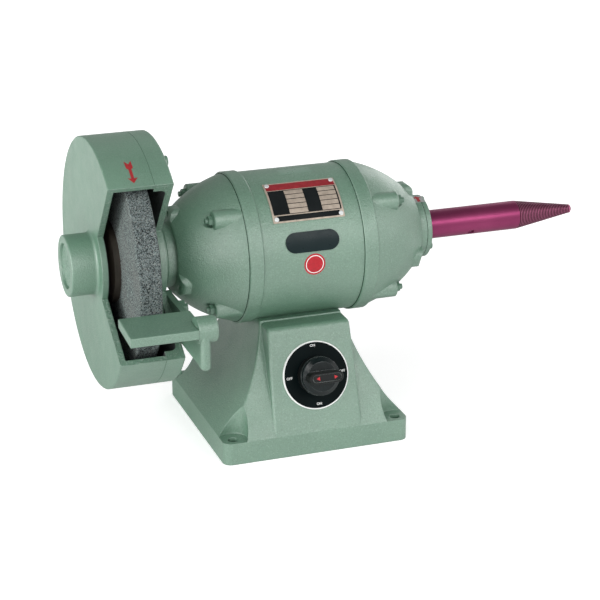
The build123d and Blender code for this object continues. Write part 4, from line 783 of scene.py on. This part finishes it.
def make_floor_material():
    """Pale floor, white to the camera; in reflections it is duller far in front, and close behind the part it
    is dimmed as a painted shadow of the part.
    """
    material = bpy.data.materials.new("pale_floor")
    material.use_nodes = True
    n = Nodes(material.node_tree)
    n.tree.nodes.clear()
    output = n.add("ShaderNodeOutputMaterial")
    diffuse = n.add("ShaderNodeBsdfDiffuse", Color=(FLOOR_GREY, FLOOR_GREY, FLOOR_GREY, 1))
    rays = n.add("ShaderNodeLightPath").outputs
    place = n.add("ShaderNodeTexCoord").outputs["Object"]
    away = n.add("ShaderNodeVectorMath", {"operation": "LENGTH"}, i0=place).outputs["Value"]
    y = n.split(place)[1]
    direct = n.math("MAXIMUM", rays["Is Camera Ray"], rays["Is Transmission Ray"])
    direct = n.math("MULTIPLY", direct, n.spread(away, GLOW_NEAR, GLOW_FAR, 0.5, 0.75, SMOOTH))
    close = n.spread(away, 0.2, 0.6, 1.0, 0.0, SMOOTH)
    # Painted shadow: close behind the part the floor is dimmed in reflections, standing in for the part's
    # shadow there.
    painted_shadow_behind = n.math("MULTIPLY", n.spread(y, -0.12, 0.1, 0.0, 0.38, SMOOTH), close)
    before = n.spread(y, -0.9, -0.35, 0.5, 0.0, SMOOTH)
    mirrored = n.math("SUBTRACT", n.spread(away, GLOW_NEAR, GLOW_FAR, 0.3, 0.65, SMOOTH), painted_shadow_behind)
    mirrored = n.math("SUBTRACT", mirrored, before)
    mirrored = n.math("MULTIPLY", rays["Is Glossy Ray"], mirrored)
    glow = n.add("ShaderNodeEmission", Color=(1, 1, 1, 1), Strength=n.math("MAXIMUM", direct, mirrored))
    total = n.add("ShaderNodeAddShader", i0=diffuse.outputs[0], i1=glow.outputs[0])
    n.put(total.outputs[0], output.inputs["Surface"])
    return material


floor_mesh = bpy.data.meshes.new("floor")
floor_corners = [(u, v, 0) for u, v in rectangle(-FLOOR_HALF, FLOOR_HALF, -FLOOR_HALF, FLOOR_HALF)]
floor_mesh.from_pydata(floor_corners, [], [(0, 1, 2, 3)])
floor_mesh.materials.append(make_floor_material())
floor = bpy.data.objects.new("floor", floor_mesh)
floor.location.z = -FLOOR_DROP
bpy.context.scene.collection.objects.link(floor)

# Sky, dull overhead and towards this side
SKY_DULL_SIDE = (-0.5, 0.866, 0.0)


def make_sky():
    """Studio surroundings, white to the camera; as light they are brightest low down at the front right."""
    world = bpy.data.worlds.new("studio")
    bpy.context.scene.world = world
    world.use_nodes = True
    n = Nodes(world.node_tree)
    direction = n.add("ShaderNodeTexCoord").outputs["Generated"]
    z = n.split(direction)[2]
    upright = n.spread(z, 0.4, 1.0, 1.0, 0.17)
    horizon = n.spread(z, 0.0, 0.3, 0.7, 1.0)
    aside = n.add("ShaderNodeVectorMath", {"operation": "DOT_PRODUCT"}, i0=direction, i1=SKY_DULL_SIDE)
    sideways = n.spread(aside.outputs["Value"], -1.0, 1.0, 1.12, 0.36)
    level = n.math("MULTIPLY", n.math("MULTIPLY", upright, sideways), horizon)
    to_camera = n.add("ShaderNodeLightPath").outputs["Is Camera Ray"]
    strength = n.add("ShaderNodeMix", i0=to_camera, i2=level, i3=1.0).outputs[0]
    background = n.tree.nodes["Background"]
    n.put((1, 1, 1, 1), background.inputs["Color"])
    n.put(strength, background.inputs["Strength"])


make_sky()

# Lamps, each with its place, width, height and level
LAMP_TARGET = Vector((0.0, 0.0, 0.15))
LAMPS = [
    ("left_box", (-2.2, -0.5, 0.8), 1.0, 1.0, 0.48),
    ("front_box", (-1.5, -1.9, 0.8), 1.0, 1.0, 0.2),
    ("strip_box", (-1.05, -0.9, 1.7), 0.12, 1.5, 0.11),
    ("right_box", (0.8, -2.2, 1.35), 0.7, 0.7, 0.17),
    ("right_fill", (2.2, -0.9, 0.9), 1.2, 1.2, 0.1),
    ("back_box", (2.0, 1.9, 0.9), 1.2, 1.2, 0.2),
]


def add_lamp(name, place, width, height, level):
    """Soft box aimed at the object; level 1 lights a facing white surface fully."""
    data = bpy.data.lights.new(name, "AREA")
    data.shape = "RECTANGLE"
    data.size = width
    data.size_y = height
    lamp = bpy.data.objects.new(name, data)
    lamp.location = place
    aim = LAMP_TARGET - lamp.location
    data.energy = math.pi**2 * aim.length_squared * level
    lamp.rotation_mode = "QUATERNION"
    lamp.rotation_quaternion = aim.to_track_quat("-Z", "Y")
    bpy.context.scene.collection.objects.link(lamp)


for lamp_values in LAMPS:
    add_lamp(*lamp_values)
bpy.context.scene.view_settings.view_transform = "Standard"
